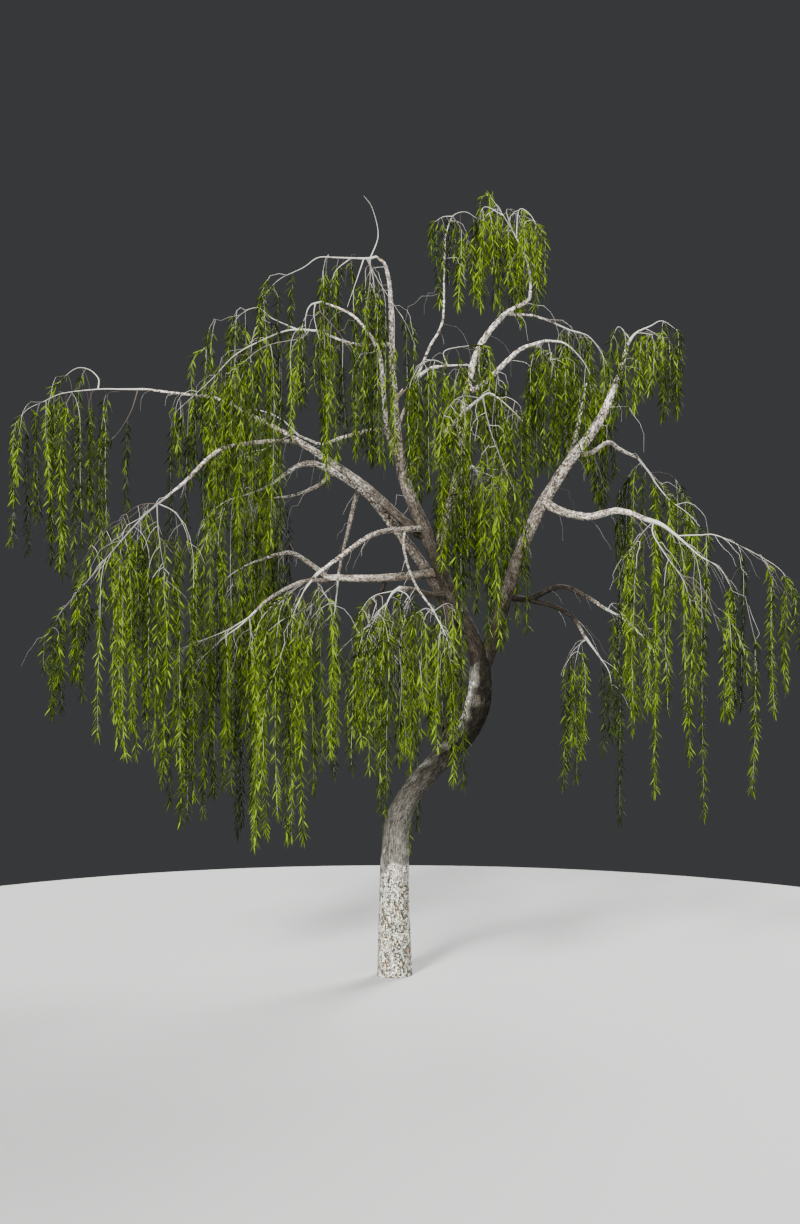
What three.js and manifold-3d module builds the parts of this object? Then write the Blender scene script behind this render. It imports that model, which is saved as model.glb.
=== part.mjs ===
// Weeping willow, about 9.4 m tall, with a bent trunk, two leaders, arching boughs and hanging foliage.
// Millimetres, +Z up, the origin at the middle of the flat cut under the trunk. The tree is seen from -Y.
//
// The trunk and each bough are one tapering limb along a smooth curve. A limb starts inside the limb that
// carries it and is cut clear of it. Each mass of foliage is one solid: a stem that goes on from the tip of
// its bough, arms that leave the stem, strands that a seeded rule hangs from both, and blades on the strands.
// A blade stands for a spray of the small leaves of the real tree.

import * as THREE from "three";
import { mergeVertices } from "three/addons/utils/BufferGeometryUtils.js";
import Module from "manifold-3d";

const wasm = await Module();
wasm.setup();
const { Manifold, Mesh: SolidMesh } = wasm;

// Where the tree is seen from. A point is given as [right, up, back]: how far right of the trunk's foot and
// how far above the ground it shows on an upright plane through that foot, and how far behind it that is.
const EYE = { right: 72, up: 4356, away: 22000 };

const CLEARANCE = 0.3; // between two limbs, and between a bough and its foliage
const FLARE = { share: 0.05, reach: 260, lobes: 5, lobe: 0.035 }; // the swelling at the trunk's foot
const TRUNK_SIDES = 14;
const THICK_LIMB = { over: 44, sides: 8 };
const THIN_LIMB_SIDES = 6;
const RINGS_PER_SPAN = 1.5; // rings of a limb for each stretch between two of its points
const TWIG_SIDES = 3;

const STEM = {
  first: 0.1, // share of the stem that bears no strands, where its mass gives none
  root: 0.9, // its radius at its root, as a share of the limb's at the tip
  end: 10, // radius of a stem or an arm at its tip
};
const ARM = { first: 0.2, thickest: 14, nearest: 0.05 }; // nearest: the first share of a stem with an arm
const ROW_END = 0.985; // the last share of a stem or an arm that can bear a strand

const STRAND = {
  arch: 0.3, // share of a strand that leads outwards before it hangs
  lift: 0.14, // how far it rises on the way, as a share of how far it leads out
  fall: 1.2, // the power of its share by which it drops
  bend: 0.22, // share of a strand where its twig bends down
  turn: 0.6, // radians between the stem and a strand that leaves it, and how much more at most
  swing: 0.9,
  root: 5, // the twig's radius at its root, at the bend and where its last blade begins
  hang: 6,
  end: 5,
  shortest: 450,
  tries: 8,
  least: 0.3, // least share of its mass's spread that a strand leads outwards
  nearer: 0.15, // by how much each new try leads out less and hangs less
  shorter: 0.08,
};
const GOLDEN_ANGLE = Math.PI * (3 - Math.sqrt(5));

const BLADE = {
  every: 640, // along a strand
  longest: 700,
  widest: 0.4, // share of its length
  width: 0.22, // share of its length
  thick: 0.035, // share of its length
  tipThick: 0.7, // a strand's last blade has this share of that thickness
  tilt: 0.3, // radians between the blade and straight down
  sunk: 5, // how far its root lies inside the twig
};
const ROOM = 12; // least room round a blade or twig beside another mass or a limb

const BARK = new THREE.MeshStandardMaterial({ color: 0xb9b4a6, roughness: 0.9, metalness: 0 });
const BOUGH_BARK = new THREE.MeshStandardMaterial({ color: 0xa39d90, roughness: 0.88, metalness: 0 });
const LEAF_GREEN = new THREE.MeshStandardMaterial({ color: 0x6f8f1c, roughness: 0.6, metalness: 0 });

// The limbs, each after the one that carries it. thick is the radius at the start and at the tip, or at each
// point. foliage is the mass that grows on from the tip: its stem, arms that leave the stem at a share of its
// length, how many strands hang from them, the heights that the strands' tips come down to (an arm may have
// its own), how far a strand leads outwards, and from which share of the stem on, where that isn't the usual.
const LIMBS = [
  {
    name: "trunk",
    thick: [205, 182, 166, 150, 138, 132, 133, 142, 150, 138, 96],
    path: [
      [0, 0, 0], [0, 840, 0], [10, 1500, 0], [50, 1840, 0], [170, 2120, 0], [400, 2420, 0],
      [660, 2680, 0], [880, 2940, 0], [1010, 3260, 0], [1040, 3640, 0], [1010, 3900, 0],
    ],
  },
  {
    name: "bough_left_leader",
    thick: [92, 88, 86, 82, 62, 46, 30, 22, 16],
    path: [
      [1020, 3700, -10], [940, 4060, -20], [650, 4640, -40], [410, 5240, -20], [140, 5900, 20],
      [40, 6460, 60], [-20, 7300, 80], [-40, 8120, 60], [-100, 8500, 50], [-210, 8620, 20],
    ],
    foliage: {
      name: "foliage_left_leader", seed: 11, strands: 8, hem: [6450, 7500], spread: 150,
      stem: [[-330, 8600, -10], [-690, 8610, -80], [-910, 8610, -160], [-1090, 8490, -220],
        [-1390, 8340, -260], [-1580, 8120, -300]],
      arms: [
        { at: 0, path: [[-190, 8880, 30], [-260, 9200, 20], [-360, 9350, 10]], bare: true },
        { at: 0.1, path: [[-470, 8280, -180], [-560, 8020, -260]] },
        { at: 0.08, path: [[-170, 8300, -220], [130, 7840, -300], [260, 7540, -320]] },
        { at: 0.05, path: [[-290, 8330, -300], [-330, 8050, -440]], hem: [5950, 6500] },
      ],
    },
  },
  {
    name: "bough_right_leader",
    thick: [92, 90, 82, 76, 66, 56, 40, 22],
    path: [
      [1060, 3660, 20], [1180, 4020, 60], [1400, 4740, 80], [1670, 5440, 40], [2020, 6040, 0],
      [2440, 6610, 0], [2680, 7140, -40], [2800, 7560, -60],
    ],
    foliage: {
      name: "foliage_right_leader", seed: 12, strands: 8, hem: [6650, 7350], spread: 170,
      stem: [[2900, 7700, -60], [3080, 7790, -80], [3220, 7850, -100], [3400, 7740, -100]],
      arms: [
        { at: 0.1, path: [[2700, 7780, -160], [2620, 7640, -260]] },
        { at: 0.3, path: [[3100, 7640, -350], [3200, 7400, -420]] },
        { at: 0.4, path: [[3150, 7680, 250], [3300, 7480, 380]] },
      ],
    },
  },
  {
    name: "bough_left_stem",
    thick: [112, 106, 88, 74, 66, 60],
    path: [
      [670, 2640, 20], [690, 3060, 190], [770, 3600, 330], [700, 4260, 480], [400, 4840, 520],
      [30, 5350, 440],
    ],
  },
  {
    name: "bough_low_arch",
    thick: [58, 54, 50, 40, 30, 22],
    path: [
      [20, 5360, 438], [-290, 5740, 370], [-610, 5980, 360], [-950, 6130, 450], [-1130, 6120, 550],
      [-1310, 6010, 650],
    ],
    foliage: {
      name: "foliage_low_arch", seed: 13, strands: 8, hem: [1600, 3700], spread: 260,
      stem: [[-1490, 5880, 720], [-1730, 5780, 780], [-1990, 5700, 820], [-2180, 5560, 850],
        [-2330, 5340, 850]],
      arms: [{ at: 0.2, path: [[-1700, 5860, 1050], [-2050, 5700, 1300]] }],
    },
  },
  {
    name: "bough_arch",
    thick: [64, 58, 50, 42, 36],
    path: [[370, 5250, -30], [110, 5450, -20], [-350, 5870, 0], [-950, 6280, 0], [-1230, 6450, 40]],
  },
  {
    name: "bough_far_left",
    thick: [30, 24, 20, 16, 13],
    path: [[-1240, 6470, 44], [-1580, 6650, 60], [-2110, 6910, 0], [-2600, 6980, -80], [-2990, 7030, -150]],
    foliage: {
      name: "foliage_far_left", seed: 14, strands: 9, hem: [4700, 5900], spread: 170,
      stem: [[-3290, 7030, -170], [-3550, 7030, -200], [-3980, 6980, -230], [-4210, 6880, -240],
        [-4400, 6790, -250], [-4530, 6640, -250]],
      arms: [
        { at: 0.04, path: [[-3160, 6760, -300], [-3320, 6500, -380], [-3500, 6340, -420]] },
        { at: 0.34, path: [[-3550, 7160, -100], [-3670, 7270, -60], [-3840, 7270, 0], [-4080, 7060, 60]] },
      ],
    },
  },
  {
    name: "bough_left",
    thick: [28, 26, 24, 20, 15],
    path: [[-1170, 6400, -10], [-1550, 6400, -250], [-2090, 6300, -700], [-2510, 5920, -1000],
      [-2750, 5720, -1150]],
    foliage: {
      name: "foliage_left", seed: 15, strands: 12, hem: [2350, 4000], spread: 230,
      stem: [[-2990, 5520, -1280], [-3230, 5260, -1380], [-3470, 4980, -1450], [-3770, 4620, -1500],
        [-3980, 4380, -1520], [-4160, 4080, -1530]],
      arms: [
        { at: 0.06, path: [[-2830, 5340, -1350], [-2780, 4980, -1480], [-2720, 4700, -1560]] },
        { at: 0.02, path: [[-3050, 5640, -950], [-3250, 5500, -800], [-3330, 5340, -760]] },
        { at: 0.02, path: [[-2640, 5560, -1080], [-2520, 5380, -1000], [-2440, 5100, -950]],
          hem: [2350, 3300] },
      ],
    },
  },
  {
    name: "bough_left_shoulder",
    thick: [24, 22, 19, 15],
    path: [[-30, 7570, 76], [-230, 7560, 0], [-530, 7580, -100], [-910, 7730, -200]],
    foliage: {
      name: "foliage_left_shoulder", seed: 16, strands: 9, hem: [5000, 6500], spread: 240, from: 0.25,
      stem: [[-1250, 7740, -250], [-1580, 7620, -300], [-1910, 7440, -350], [-2180, 7160, -400],
        [-2420, 6940, -400], [-2640, 6740, -400]],
      arms: [
        { at: 0.02, path: [[-1130, 7640, -450], [-1560, 7540, -700], [-1910, 7260, -850]] },
        { at: 0.12, path: [[-1460, 7880, -100], [-1640, 8010, 0], [-1850, 7920, 60], [-1960, 7740, 80]] },
      ],
    },
  },
  {
    name: "bough_inner_left",
    thick: [32, 30, 29, 24, 18, 13],
    path: [[50, 6220, 40], [-80, 6520, -120], [-130, 7080, -220], [-200, 7520, -270], [-480, 7900, -330],
      [-860, 8080, -400]],
    foliage: {
      name: "foliage_inner_left", seed: 17, strands: 6, hem: [5750, 6900], spread: 190, from: 0.7,
      stem: [[-1000, 8040, -450], [-1060, 7900, -560], [-1060, 7700, -660]],
      arms: [
        { at: 0.05, path: [[-880, 7960, -650], [-700, 7760, -850], [-520, 7500, -1000]] },
        { at: 0.15, path: [[-960, 7900, -800], [-900, 7640, -1050]] },
      ],
    },
  },
  {
    name: "bough_inner_right",
    thick: [27, 25, 22, 16],
    path: [[-5, 6860, 76], [100, 7000, -50], [400, 7260, -250], [610, 7310, -330]],
    foliage: {
      name: "foliage_inner_right", seed: 18, strands: 8, hem: [5650, 6600], spread: 180,
      stem: [[850, 7320, -380], [1060, 7300, -430], [1180, 7160, -470]],
      arms: [
        { at: 0.02, path: [[600, 7480, -430], [800, 7540, -500], [1060, 7560, -560]] },
        { at: 0.3, path: [[760, 7200, -650], [700, 7000, -800]] },
        { at: 0.02, path: [[470, 7380, -560], [310, 7320, -740], [210, 7140, -820]], hem: [5500, 6300] },
      ],
    },
  },
  {
    name: "bough_tall_shoot",
    thick: [22, 20, 16, 14, 12, 9],
    path: [[50, 6600, 70], [170, 6900, 190], [410, 7500, 220], [580, 7840, 240], [600, 8400, 250],
      [620, 8880, 250]],
    foliage: {
      name: "foliage_tall_shoot", seed: 19, strands: 5, hem: [8050, 8600], spread: 90,
      stem: [[700, 9100, 250], [850, 9160, 250], [1000, 9080, 250]],
      arms: [
        { at: 0.42, path: [[590, 9100, 180], [490, 9040, 150]] },
        { at: 0.42, path: [[800, 8960, 130], [920, 8700, 90], [820, 8480, 90]] },
      ],
    },
  },
  {
    name: "bough_crown",
    thick: [56, 52, 48, 46, 40, 32, 24, 17],
    path: [[500, 5030, -20], [620, 5460, 120], [790, 6180, 320], [860, 6900, 400], [1010, 7500, 400],
      [1310, 7910, 400], [1600, 8090, 400], [1640, 8240, 400]],
    foliage: {
      name: "foliage_crown", seed: 20, strands: 8, hem: [7900, 8700], spread: 170,
      stem: [[1610, 8520, 400], [1450, 8880, 400], [1270, 9180, 400], [1130, 9380, 400]],
      arms: [
        { at: 0.5, path: [[1500, 9180, 320], [1640, 9120, 260], [1780, 8860, 200]] },
        { at: 0.6, path: [[1350, 9180, 600], [1450, 9140, 780], [1560, 8960, 900]] },
        { at: 0.75, path: [[1090, 9220, 340], [1010, 9050, 310]] },
      ],
    },
  },
  {
    name: "bough_middle_right",
    thick: [36, 33, 30, 26, 18],
    path: [[870, 7000, 380], [1060, 7080, 250], [1370, 7380, 100], [1540, 7520, 50], [1810, 7610, 0]],
    foliage: {
      name: "foliage_middle_right", seed: 21, strands: 6, hem: [5600, 6800], spread: 200,
      stem: [[2050, 7580, -60], [2260, 7380, -120], [2380, 7160, -180]],
      arms: [
        { at: 0.05, path: [[1880, 7460, -260], [1930, 7260, -420]] },
        { at: 0.1, path: [[1720, 7560, -300], [1640, 7300, -560]] },
      ],
    },
  },
  {
    name: "bough_upper_right",
    thick: [19, 17, 14, 11],
    path: [[1340, 7930, 410], [1610, 7920, 520], [1810, 7870, 600], [1970, 7800, 650]],
    foliage: {
      name: "foliage_upper_right", seed: 22, strands: 5, hem: [5900, 6900], spread: 180,
      stem: [[2140, 7730, 700], [2330, 7670, 740], [2470, 7500, 750], [2560, 7320, 750]],
      arms: [{ at: 0.1, path: [[2080, 7740, 950], [2240, 7600, 1150]] }],
    },
  },
  {
    name: "bough_front",
    thick: [36, 33, 28, 22, 16],
    path: [[120, 5960, 10], [260, 6170, -200], [640, 6540, -700], [850, 6760, -1000], [1010, 6900, -1250]],
    foliage: {
      name: "foliage_front", seed: 23, strands: 9, hem: [3750, 5300], spread: 260,
      stem: [[1150, 6980, -1450], [1330, 6860, -1750], [1540, 6660, -2050]],
      arms: [
        { at: 0.1, path: [[1100, 6760, -1800], [1180, 6460, -2200], [1300, 6160, -2600],
          [1420, 5860, -3050]] },
        { at: 0.05, path: [[800, 6940, -1600], [620, 6760, -1950], [560, 6500, -2200]] },
      ],
    },
  },
  {
    name: "bough_right",
    thick: [54, 50, 44, 38, 30],
    path: [[1770, 5700, 20], [1990, 5570, -120], [2330, 5500, -300], [2690, 5570, -500], [3050, 5460, -640]],
    foliage: {
      name: "foliage_right", seed: 24, strands: 13, hem: [1850, 3900], spread: 230,
      stem: [[3220, 5400, -700], [3430, 5240, -780], [3670, 5030, -860], [3910, 4880, -920],
        [4060, 4620, -960]],
      arms: [
        { at: 0.3, path: [[3670, 5280, -700], [3890, 5270, -650], [4330, 5060, -600], [4640, 4860, -560],
          [4780, 4620, -540]], hem: [3150, 4100] },
        { at: 0.02, path: [[3110, 5290, -900], [3260, 5040, -1050], [3470, 4740, -1250],
          [3560, 4440, -1500]] },
        { at: 0.04, path: [[2980, 5300, -1050], [2800, 5040, -1550]] },
      ],
    },
  },
  {
    name: "bough_right_back",
    thick: [32, 29, 26, 23, 16],
    path: [[2200, 6260, 10], [2350, 6260, 260], [2570, 6390, 650], [2710, 6310, 830], [2930, 6200, 950]],
    foliage: {
      name: "foliage_right_back", seed: 25, strands: 7, hem: [3700, 5100], spread: 200,
      stem: [[3070, 6020, 1000], [3150, 5890, 1030], [3310, 5700, 1050], [3550, 5520, 1060],
        [3740, 5290, 1060]],
      arms: [
        { at: 0.02, path: [[2870, 6060, 1200], [2760, 5840, 1350]] },
        { at: 0.08, path: [[3120, 5980, 1450], [3330, 5720, 1850]] },
      ],
    },
  },
  {
    name: "bough_low_right",
    thick: [42, 38, 32, 27, 19],
    path: [[1390, 4530, 90], [1630, 4520, 300], [1990, 4660, 550], [2290, 4550, 720], [2530, 4400, 800]],
    foliage: {
      name: "foliage_low_right", seed: 26, strands: 7, hem: [2500, 3600], spread: 210,
      stem: [[2740, 4280, 850], [2930, 4120, 900], [3110, 3920, 950]],
      arms: [
        { at: 0.05, path: [[2640, 4460, 1150], [2850, 4380, 1500], [3050, 4120, 1800]] },
        { at: 0.2, path: [[2780, 4300, 600], [2860, 4100, 350]] },
      ],
    },
  },
  {
    name: "bough_low_right_inner",
    thick: [32, 30, 26, 19],
    path: [[1620, 4500, 300], [1900, 4430, 370], [2140, 4300, 420], [2290, 4060, 440]],
    foliage: {
      name: "foliage_low_right_inner", seed: 27, strands: 6, hem: [1700, 2900], spread: 190,
      stem: [[2450, 3840, 460], [2580, 3640, 480], [2620, 3400, 480]],
      arms: [
        { at: 0.02, path: [[2180, 3980, 700], [2120, 3800, 950]] },
        { at: 0.05, path: [[2230, 3960, 200], [2180, 3760, 20]] },
      ],
    },
  },
  {
    name: "bough_front_left",
    thick: [38, 34, 30, 26, 19],
    path: [[370, 5350, -10], [170, 5350, -250], [-240, 5290, -700], [-670, 5000, -1150], [-910, 4820, -1350]],
    foliage: {
      name: "foliage_front_left", seed: 28, strands: 8, hem: [1250, 2900], spread: 240,
      stem: [[-1060, 4640, -1500], [-1160, 4440, -1600], [-1280, 4180, -1700]],
      arms: [
        { at: 0.08, path: [[-1200, 4640, -1850], [-1520, 4360, -2400]] },
        { at: 0.05, path: [[-900, 4660, -1750], [-760, 4460, -2050]] },
        { at: 0.05, path: [[-1150, 4660, -1250], [-1380, 4440, -1150]] },
      ],
    },
  },
  {
    name: "bough_front_drop",
    thick: [17, 16, 14, 11],
    path: [[130, 5340, -290], [120, 5100, -650], [240, 4720, -1200], [460, 4390, -1750]],
    foliage: {
      name: "foliage_front_drop", seed: 29, strands: 8, hem: [2150, 3300], spread: 180,
      stem: [[580, 4160, -2000], [660, 3960, -2150], [720, 3740, -2250]],
      arms: [
        { at: 0.1, path: [[380, 4400, -2150], [200, 4300, -2500]] },
        { at: 0.05, path: [[640, 4460, -1700], [780, 4380, -1560]] },
      ],
    },
  },
  {
    name: "bough_front_low",
    thick: [46, 42, 36, 27],
    path: [[620, 4560, -20], [430, 4560, -330], [220, 4620, -750], [70, 4640, -1100]],
    foliage: {
      name: "foliage_front_low", seed: 30, strands: 9, hem: [1900, 3300], spread: 240,
      stem: [[-20, 4580, -1450], [-90, 4440, -1850], [-130, 4240, -2250]],
      arms: [
        { at: 0.1, path: [[160, 4560, -1450], [240, 4400, -1700]] },
        { at: 0.15, path: [[-260, 4540, -1700], [-420, 4340, -1950]] },
        { at: 0.6, path: [[-200, 4340, -2600], [-320, 4060, -3100]] },
      ],
    },
  },
  {
    name: "bough_low_left",
    thick: [58, 54, 46, 38],
    path: [[560, 4840, -30], [310, 4800, 100], [-260, 4760, 340], [-830, 4770, 590]],
  },
  {
    name: "bough_low_left_curl",
    thick: [35, 32, 27, 22, 15],
    path: [[-800, 4770, 570], [-960, 4900, 680], [-1210, 5060, 850], [-1390, 5050, 950], [-1580, 4990, 1050]],
    foliage: {
      name: "foliage_low_left_curl", seed: 31, strands: 6, hem: [2000, 3300], spread: 230,
      stem: [[-1790, 4910, 1150], [-1990, 4780, 1250], [-2180, 4600, 1350]],
      arms: [
        { at: 0.05, path: [[-1720, 4900, 1450], [-1850, 4760, 1850], [-2000, 4540, 2200]] },
      ],
    },
  },
  {
    name: "bough_low_left_sweep",
    thick: [28, 25, 20, 13],
    path: [[-800, 4740, 560], [-1130, 4710, 400], [-1490, 4520, 150], [-1670, 4360, 0]],
    foliage: {
      name: "foliage_low_left_sweep", seed: 32, strands: 8, hem: [1500, 2900], spread: 230,
      stem: [[-1850, 4190, -150], [-2030, 4060, -250], [-2270, 3840, -350], [-2470, 3680, -400]],
      arms: [
        { at: 0.1, path: [[-2000, 4140, -500], [-2350, 4000, -700], [-2750, 3840, -850]] },
        { at: 0.1, path: [[-1720, 4080, -420], [-1760, 3860, -640]] },
      ],
    },
  },
  {
    name: "bough_low_middle",
    thick: [28, 25, 22, 17],
    path: [[-100, 4750, 270], [-160, 4580, 500], [-280, 4440, 780], [-300, 4260, 950]],
    foliage: {
      name: "foliage_low_middle", seed: 33, strands: 7, hem: [2100, 3200], spread: 230,
      stem: [[-280, 4060, 1150], [-220, 3860, 1400], [-180, 3700, 1600]],
      arms: [
        { at: 0.1, path: [[-480, 4060, 1250], [-640, 3900, 1450]] },
        { at: 0.1, path: [[-90, 4120, 1100], [100, 3960, 1150]] },
        { at: 0.5, path: [[0, 3860, 1680], [240, 3700, 1760]], hem: [1150, 1500] },
      ],
    },
  },
  {
    name: "bough_hanger",
    thick: [30, 27, 23, 17],
    path: [[-430, 5840, 370], [-500, 5560, 470], [-620, 5030, 640], [-670, 4790, 740]],
    foliage: {
      name: "foliage_hanger", seed: 34, strands: 5, hem: [2000, 3300], spread: 220,
      stem: [[-690, 4560, 800], [-720, 4300, 850], [-760, 4100, 880]],
      arms: [
        { at: 0.1, path: [[-860, 4560, 950], [-1060, 4360, 1150]] },
        { at: 0.1, path: [[-980, 4500, 620], [-1200, 4300, 500]] },
      ],
    },
  },
  {
    name: "bough_back_left",
    thick: [27, 24, 21, 17],
    path: [[-730, 6030, 390], [-890, 5890, 620], [-1070, 5800, 900], [-1270, 5740, 1250]],
    foliage: {
      name: "foliage_back_left", seed: 35, strands: 7, hem: [2600, 4200], spread: 240,
      stem: [[-1460, 5720, 1600], [-1700, 5620, 2000], [-1900, 5420, 2400]],
      arms: [
        { at: 0.2, path: [[-1480, 5700, 2050], [-1420, 5520, 2600], [-1450, 5260, 3050]] },
      ],
    },
  },
  {
    name: "bough_high_back_left",
    thick: [27, 25, 22, 18, 13],
    path: [[30, 6460, 80], [-230, 6540, 400], [-650, 6440, 900], [-860, 6370, 1080], [-1140, 6470, 1250]],
    foliage: {
      name: "foliage_high_back_left", seed: 36, strands: 6, hem: [4000, 5600], spread: 230,
      stem: [[-1340, 6660, 1400], [-1550, 6760, 1550], [-1760, 6780, 1700], [-2030, 6700, 1850],
        [-2200, 6520, 1950]],
      arms: [
        { at: 0.02, path: [[-1370, 6410, 1420], [-1610, 6280, 1500], [-1900, 6080, 1550]] },
        { at: 0.4, path: [[-1540, 6740, 1900], [-1560, 6560, 2300]] },
      ],
    },
  },
  {
    name: "bough_back",
    thick: [42, 38, 32, 24],
    path: [[720, 5860, 240], [760, 5960, 700], [850, 6080, 1300], [930, 6100, 1900]],
    foliage: {
      name: "foliage_back", seed: 37, strands: 8, hem: [3900, 5000], spread: 270,
      stem: [[980, 6060, 2350], [1010, 5920, 2900], [1010, 5600, 3400]],
      arms: [
        { at: 0.05, path: [[1180, 6060, 2150], [1340, 5880, 2400]] },
        { at: 0.1, path: [[780, 6060, 2300], [640, 5900, 2550]] },
        { at: 0.3, path: [[1200, 5960, 2850], [1320, 5700, 3150]] },
      ],
    },
  },
  {
    name: "bough_back_right",
    thick: [34, 31, 26, 18],
    path: [[2090, 6120, 10], [2180, 6460, 450], [2250, 6800, 950], [2290, 7040, 1500]],
    foliage: {
      name: "foliage_back_right", seed: 38, strands: 6, hem: [5200, 6400], spread: 230,
      stem: [[2320, 7100, 1900], [2360, 7040, 2300], [2420, 6840, 2650]],
      arms: [
        { at: 0.1, path: [[2120, 7080, 1950], [1960, 6940, 2200]] },
        { at: 0.15, path: [[2460, 7060, 2000], [2600, 6880, 2150]] },
      ],
    },
  },
];

// The same draws for the same seed, each from 0 up to 1.
function seededDraws(seed) {
  let state = (seed * 2654435761) >>> 0;
  return () => {
    state = (Math.imul(state, 1664525) + 1013904223) >>> 0;
    return state / 2 ** 32;
  };
}

function placed([right, up, back]) {
  const scale = (EYE.away + back) / EYE.away;
  return new THREE.Vector3(EYE.right + (right - EYE.right) * scale, back, EYE.up + (up - EYE.up) * scale);
}

function curveThrough(points) {
  return new THREE.CatmullRomCurve3(points, false, "catmullrom", 0.5);
}

// A value from a list spread evenly over 0 to 1.
function valueAt(list, share) {
  const place = Math.min(Math.max(share, 0), 1) * (list.length - 1);
  const low = Math.min(Math.floor(place), list.length - 2);
  return THREE.MathUtils.lerp(list[low], list[low + 1], place - low);
}

// The directions along a row of points, the first and last as given where they are.
function directions(points, first, last) {
  return points.map((point, i) => {
    if (i === 0 && first) return first.clone();
    if (i === points.length - 1 && last) return last.clone();
    const before = points[Math.max(i - 1, 0)];
    const after = points[Math.min(i + 1, points.length - 1)];
    return after.clone().sub(before).normalize();
  });
}

function solidFrom(positions, triangles) {
  const geometry = new THREE.BufferGeometry();
  geometry.setAttribute("position", new THREE.Float32BufferAttribute(positions, 3));
  geometry.setIndex(triangles);
  const merged = mergeVertices(geometry, 1e-4);
  const kept = [];
  const index = merged.index.array;
  for (let i = 0; i < index.length; i += 3) {
    const [a, b, c] = [index[i], index[i + 1], index[i + 2]];
    if (a !== b && b !== c && c !== a) kept.push(a, b, c);
  }
  return new Manifold(
    new SolidMesh({
      numProp: 3,
      vertProperties: merged.attributes.position.array,
      triVerts: new Uint32Array(kept),
    }),
  );
}

// A closed tube with flat ends: a ring of sides vertices round each point, turned as little as possible from
// ring to ring. radiiAt gives the two radii of a ring from its number and the angle round it, the second one
// measured along the given direction. A last ring with no radius makes a pointed tip.
function tube(points, ways, sides, radiiAt, facing) {
  const positions = [];
  const triangles = [];
  const across = new THREE.Vector3(1, 0, 0);
  if (facing) across.crossVectors(facing, ways[0]);
  else if (Math.abs(ways[0].x) > 0.9) across.set(0, 1, 0);
  points.forEach((point, ring) => {
    across.addScaledVector(ways[ring], -across.dot(ways[ring])).normalize();
    const along = new THREE.Vector3().crossVectors(ways[ring], across);
    for (let side = 0; side < sides; side++) {
      const angle = (side / sides) * Math.PI * 2;
      const [deep, wide] = radiiAt(ring, angle);
      const vertex = point
        .clone()
        .addScaledVector(across, Math.cos(angle) * deep)
        .addScaledVector(along, Math.sin(angle) * wide);
      positions.push(...vertex);
    }
  });
  for (let ring = 0; ring < points.length - 1; ring++)
    for (let side = 0; side < sides; side++) {
      const next = (side + 1) % sides;
      const [a, b] = [ring * sides + side, ring * sides + next];
      triangles.push(a, b, b + sides, a, b + sides, a + sides);
    }
  const lastRing = (points.length - 1) * sides;
  for (let side = 1; side < sides - 1; side++) {
    triangles.push(0, side + 1, side);
    triangles.push(lastRing, lastRing + side, lastRing + side + 1);
  }
  return solidFrom(positions, triangles);
}

// A limb's centre line and radii, and its solid, thicker and longer by the given amount.
function limbLine(limb) {
  const curve = curveThrough(limb.path.map(placed));
  const count = Math.ceil((limb.path.length - 1) * RINGS_PER_SPAN);
  const points = curve.getPoints(count);
  const isTrunk = limb.name === "trunk";
  const firstWay = isTrunk ? new THREE.Vector3(0, 0, 1) : null;
  const ways = directions(points, firstWay);
  const radii = points.map((_, i) => valueAt(limb.thick, i / count));
  return { points, ways, radii, isTrunk };
}

function flareAt(height, angle) {
  const fade = Math.exp(-height / FLARE.reach);
  return 1 + fade * (FLARE.share + FLARE.lobe * Math.cos(FLARE.lobes * angle));
}

function limbSolid(line, extra) {
  const points = line.points.map((p) => p.clone());
  points[0].addScaledVector(line.ways[0], -extra);
  points.at(-1).addScaledVector(line.ways.at(-1), extra);
  const thickest = Math.max(...line.radii);
  const thinSides = thickest > THICK_LIMB.over ? THICK_LIMB.sides : THIN_LIMB_SIDES;
  return tube(points, line.ways, line.isTrunk ? TRUNK_SIDES : thinSides, (ring, angle) => {
    const flare = line.isTrunk ? flareAt(line.points[ring].z, angle) : 1;
    const radius = line.radii[ring] * flare + extra;
    return [radius, radius];
  });
}

function boxesMeet(a, b) {
  const [p, q] = [a.boundingBox(), b.boundingBox()];
  return [0, 1, 2].every((axis) => p.min[axis] <= q.max[axis] && q.min[axis] <= p.max[axis]);
}

function largestPiece(solid) {
  const pieces = solid.decompose();
  return pieces.reduce((best, piece) => (piece.volume() > best.volume() ? piece : best), pieces[0]);
}

// The least distance between two straight stretches.
function stretchGap(p, q) {
  const u = p.end.clone().sub(p.start);
  const v = q.end.clone().sub(q.start);
  const w = p.start.clone().sub(q.start);
  const [a, b, c, d, e] = [u.dot(u), u.dot(v), v.dot(v), u.dot(w), v.dot(w)];
  const spread = a * c - b * b;
  const clamp = (x) => Math.min(Math.max(x, 0), 1);
  let s = spread > 1e-9 ? clamp((b * e - c * d) / spread) : 0;
  const t = clamp(c > 1e-9 ? (b * s + e) / c : 0);
  s = clamp(a > 1e-9 ? (b * t - d) / a : 0);
  return w.addScaledVector(u, s).addScaledVector(v, -t).length();
}

function stretchesAlong(points, radii, owner) {
  return points.slice(1).map((end, i) => {
    const reach = Math.max(radii[i], radii[i + 1]);
    return { start: points[i], end, reach, owner };
  });
}

function touches(stretch, others, except) {
  return others.some((other) => {
    if (other.owner === except) return false;
    return stretchGap(stretch, other) < stretch.reach + other.reach + ROOM;
  });
}

// A row of points with the length up to each, and the place on it at a share of its length.
function measuredRow(points) {
  const runs = [0];
  for (let i = 1; i < points.length; i++) runs.push(runs.at(-1) + points[i].distanceTo(points[i - 1]));
  return { points, runs, length: runs.at(-1) };
}

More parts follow.
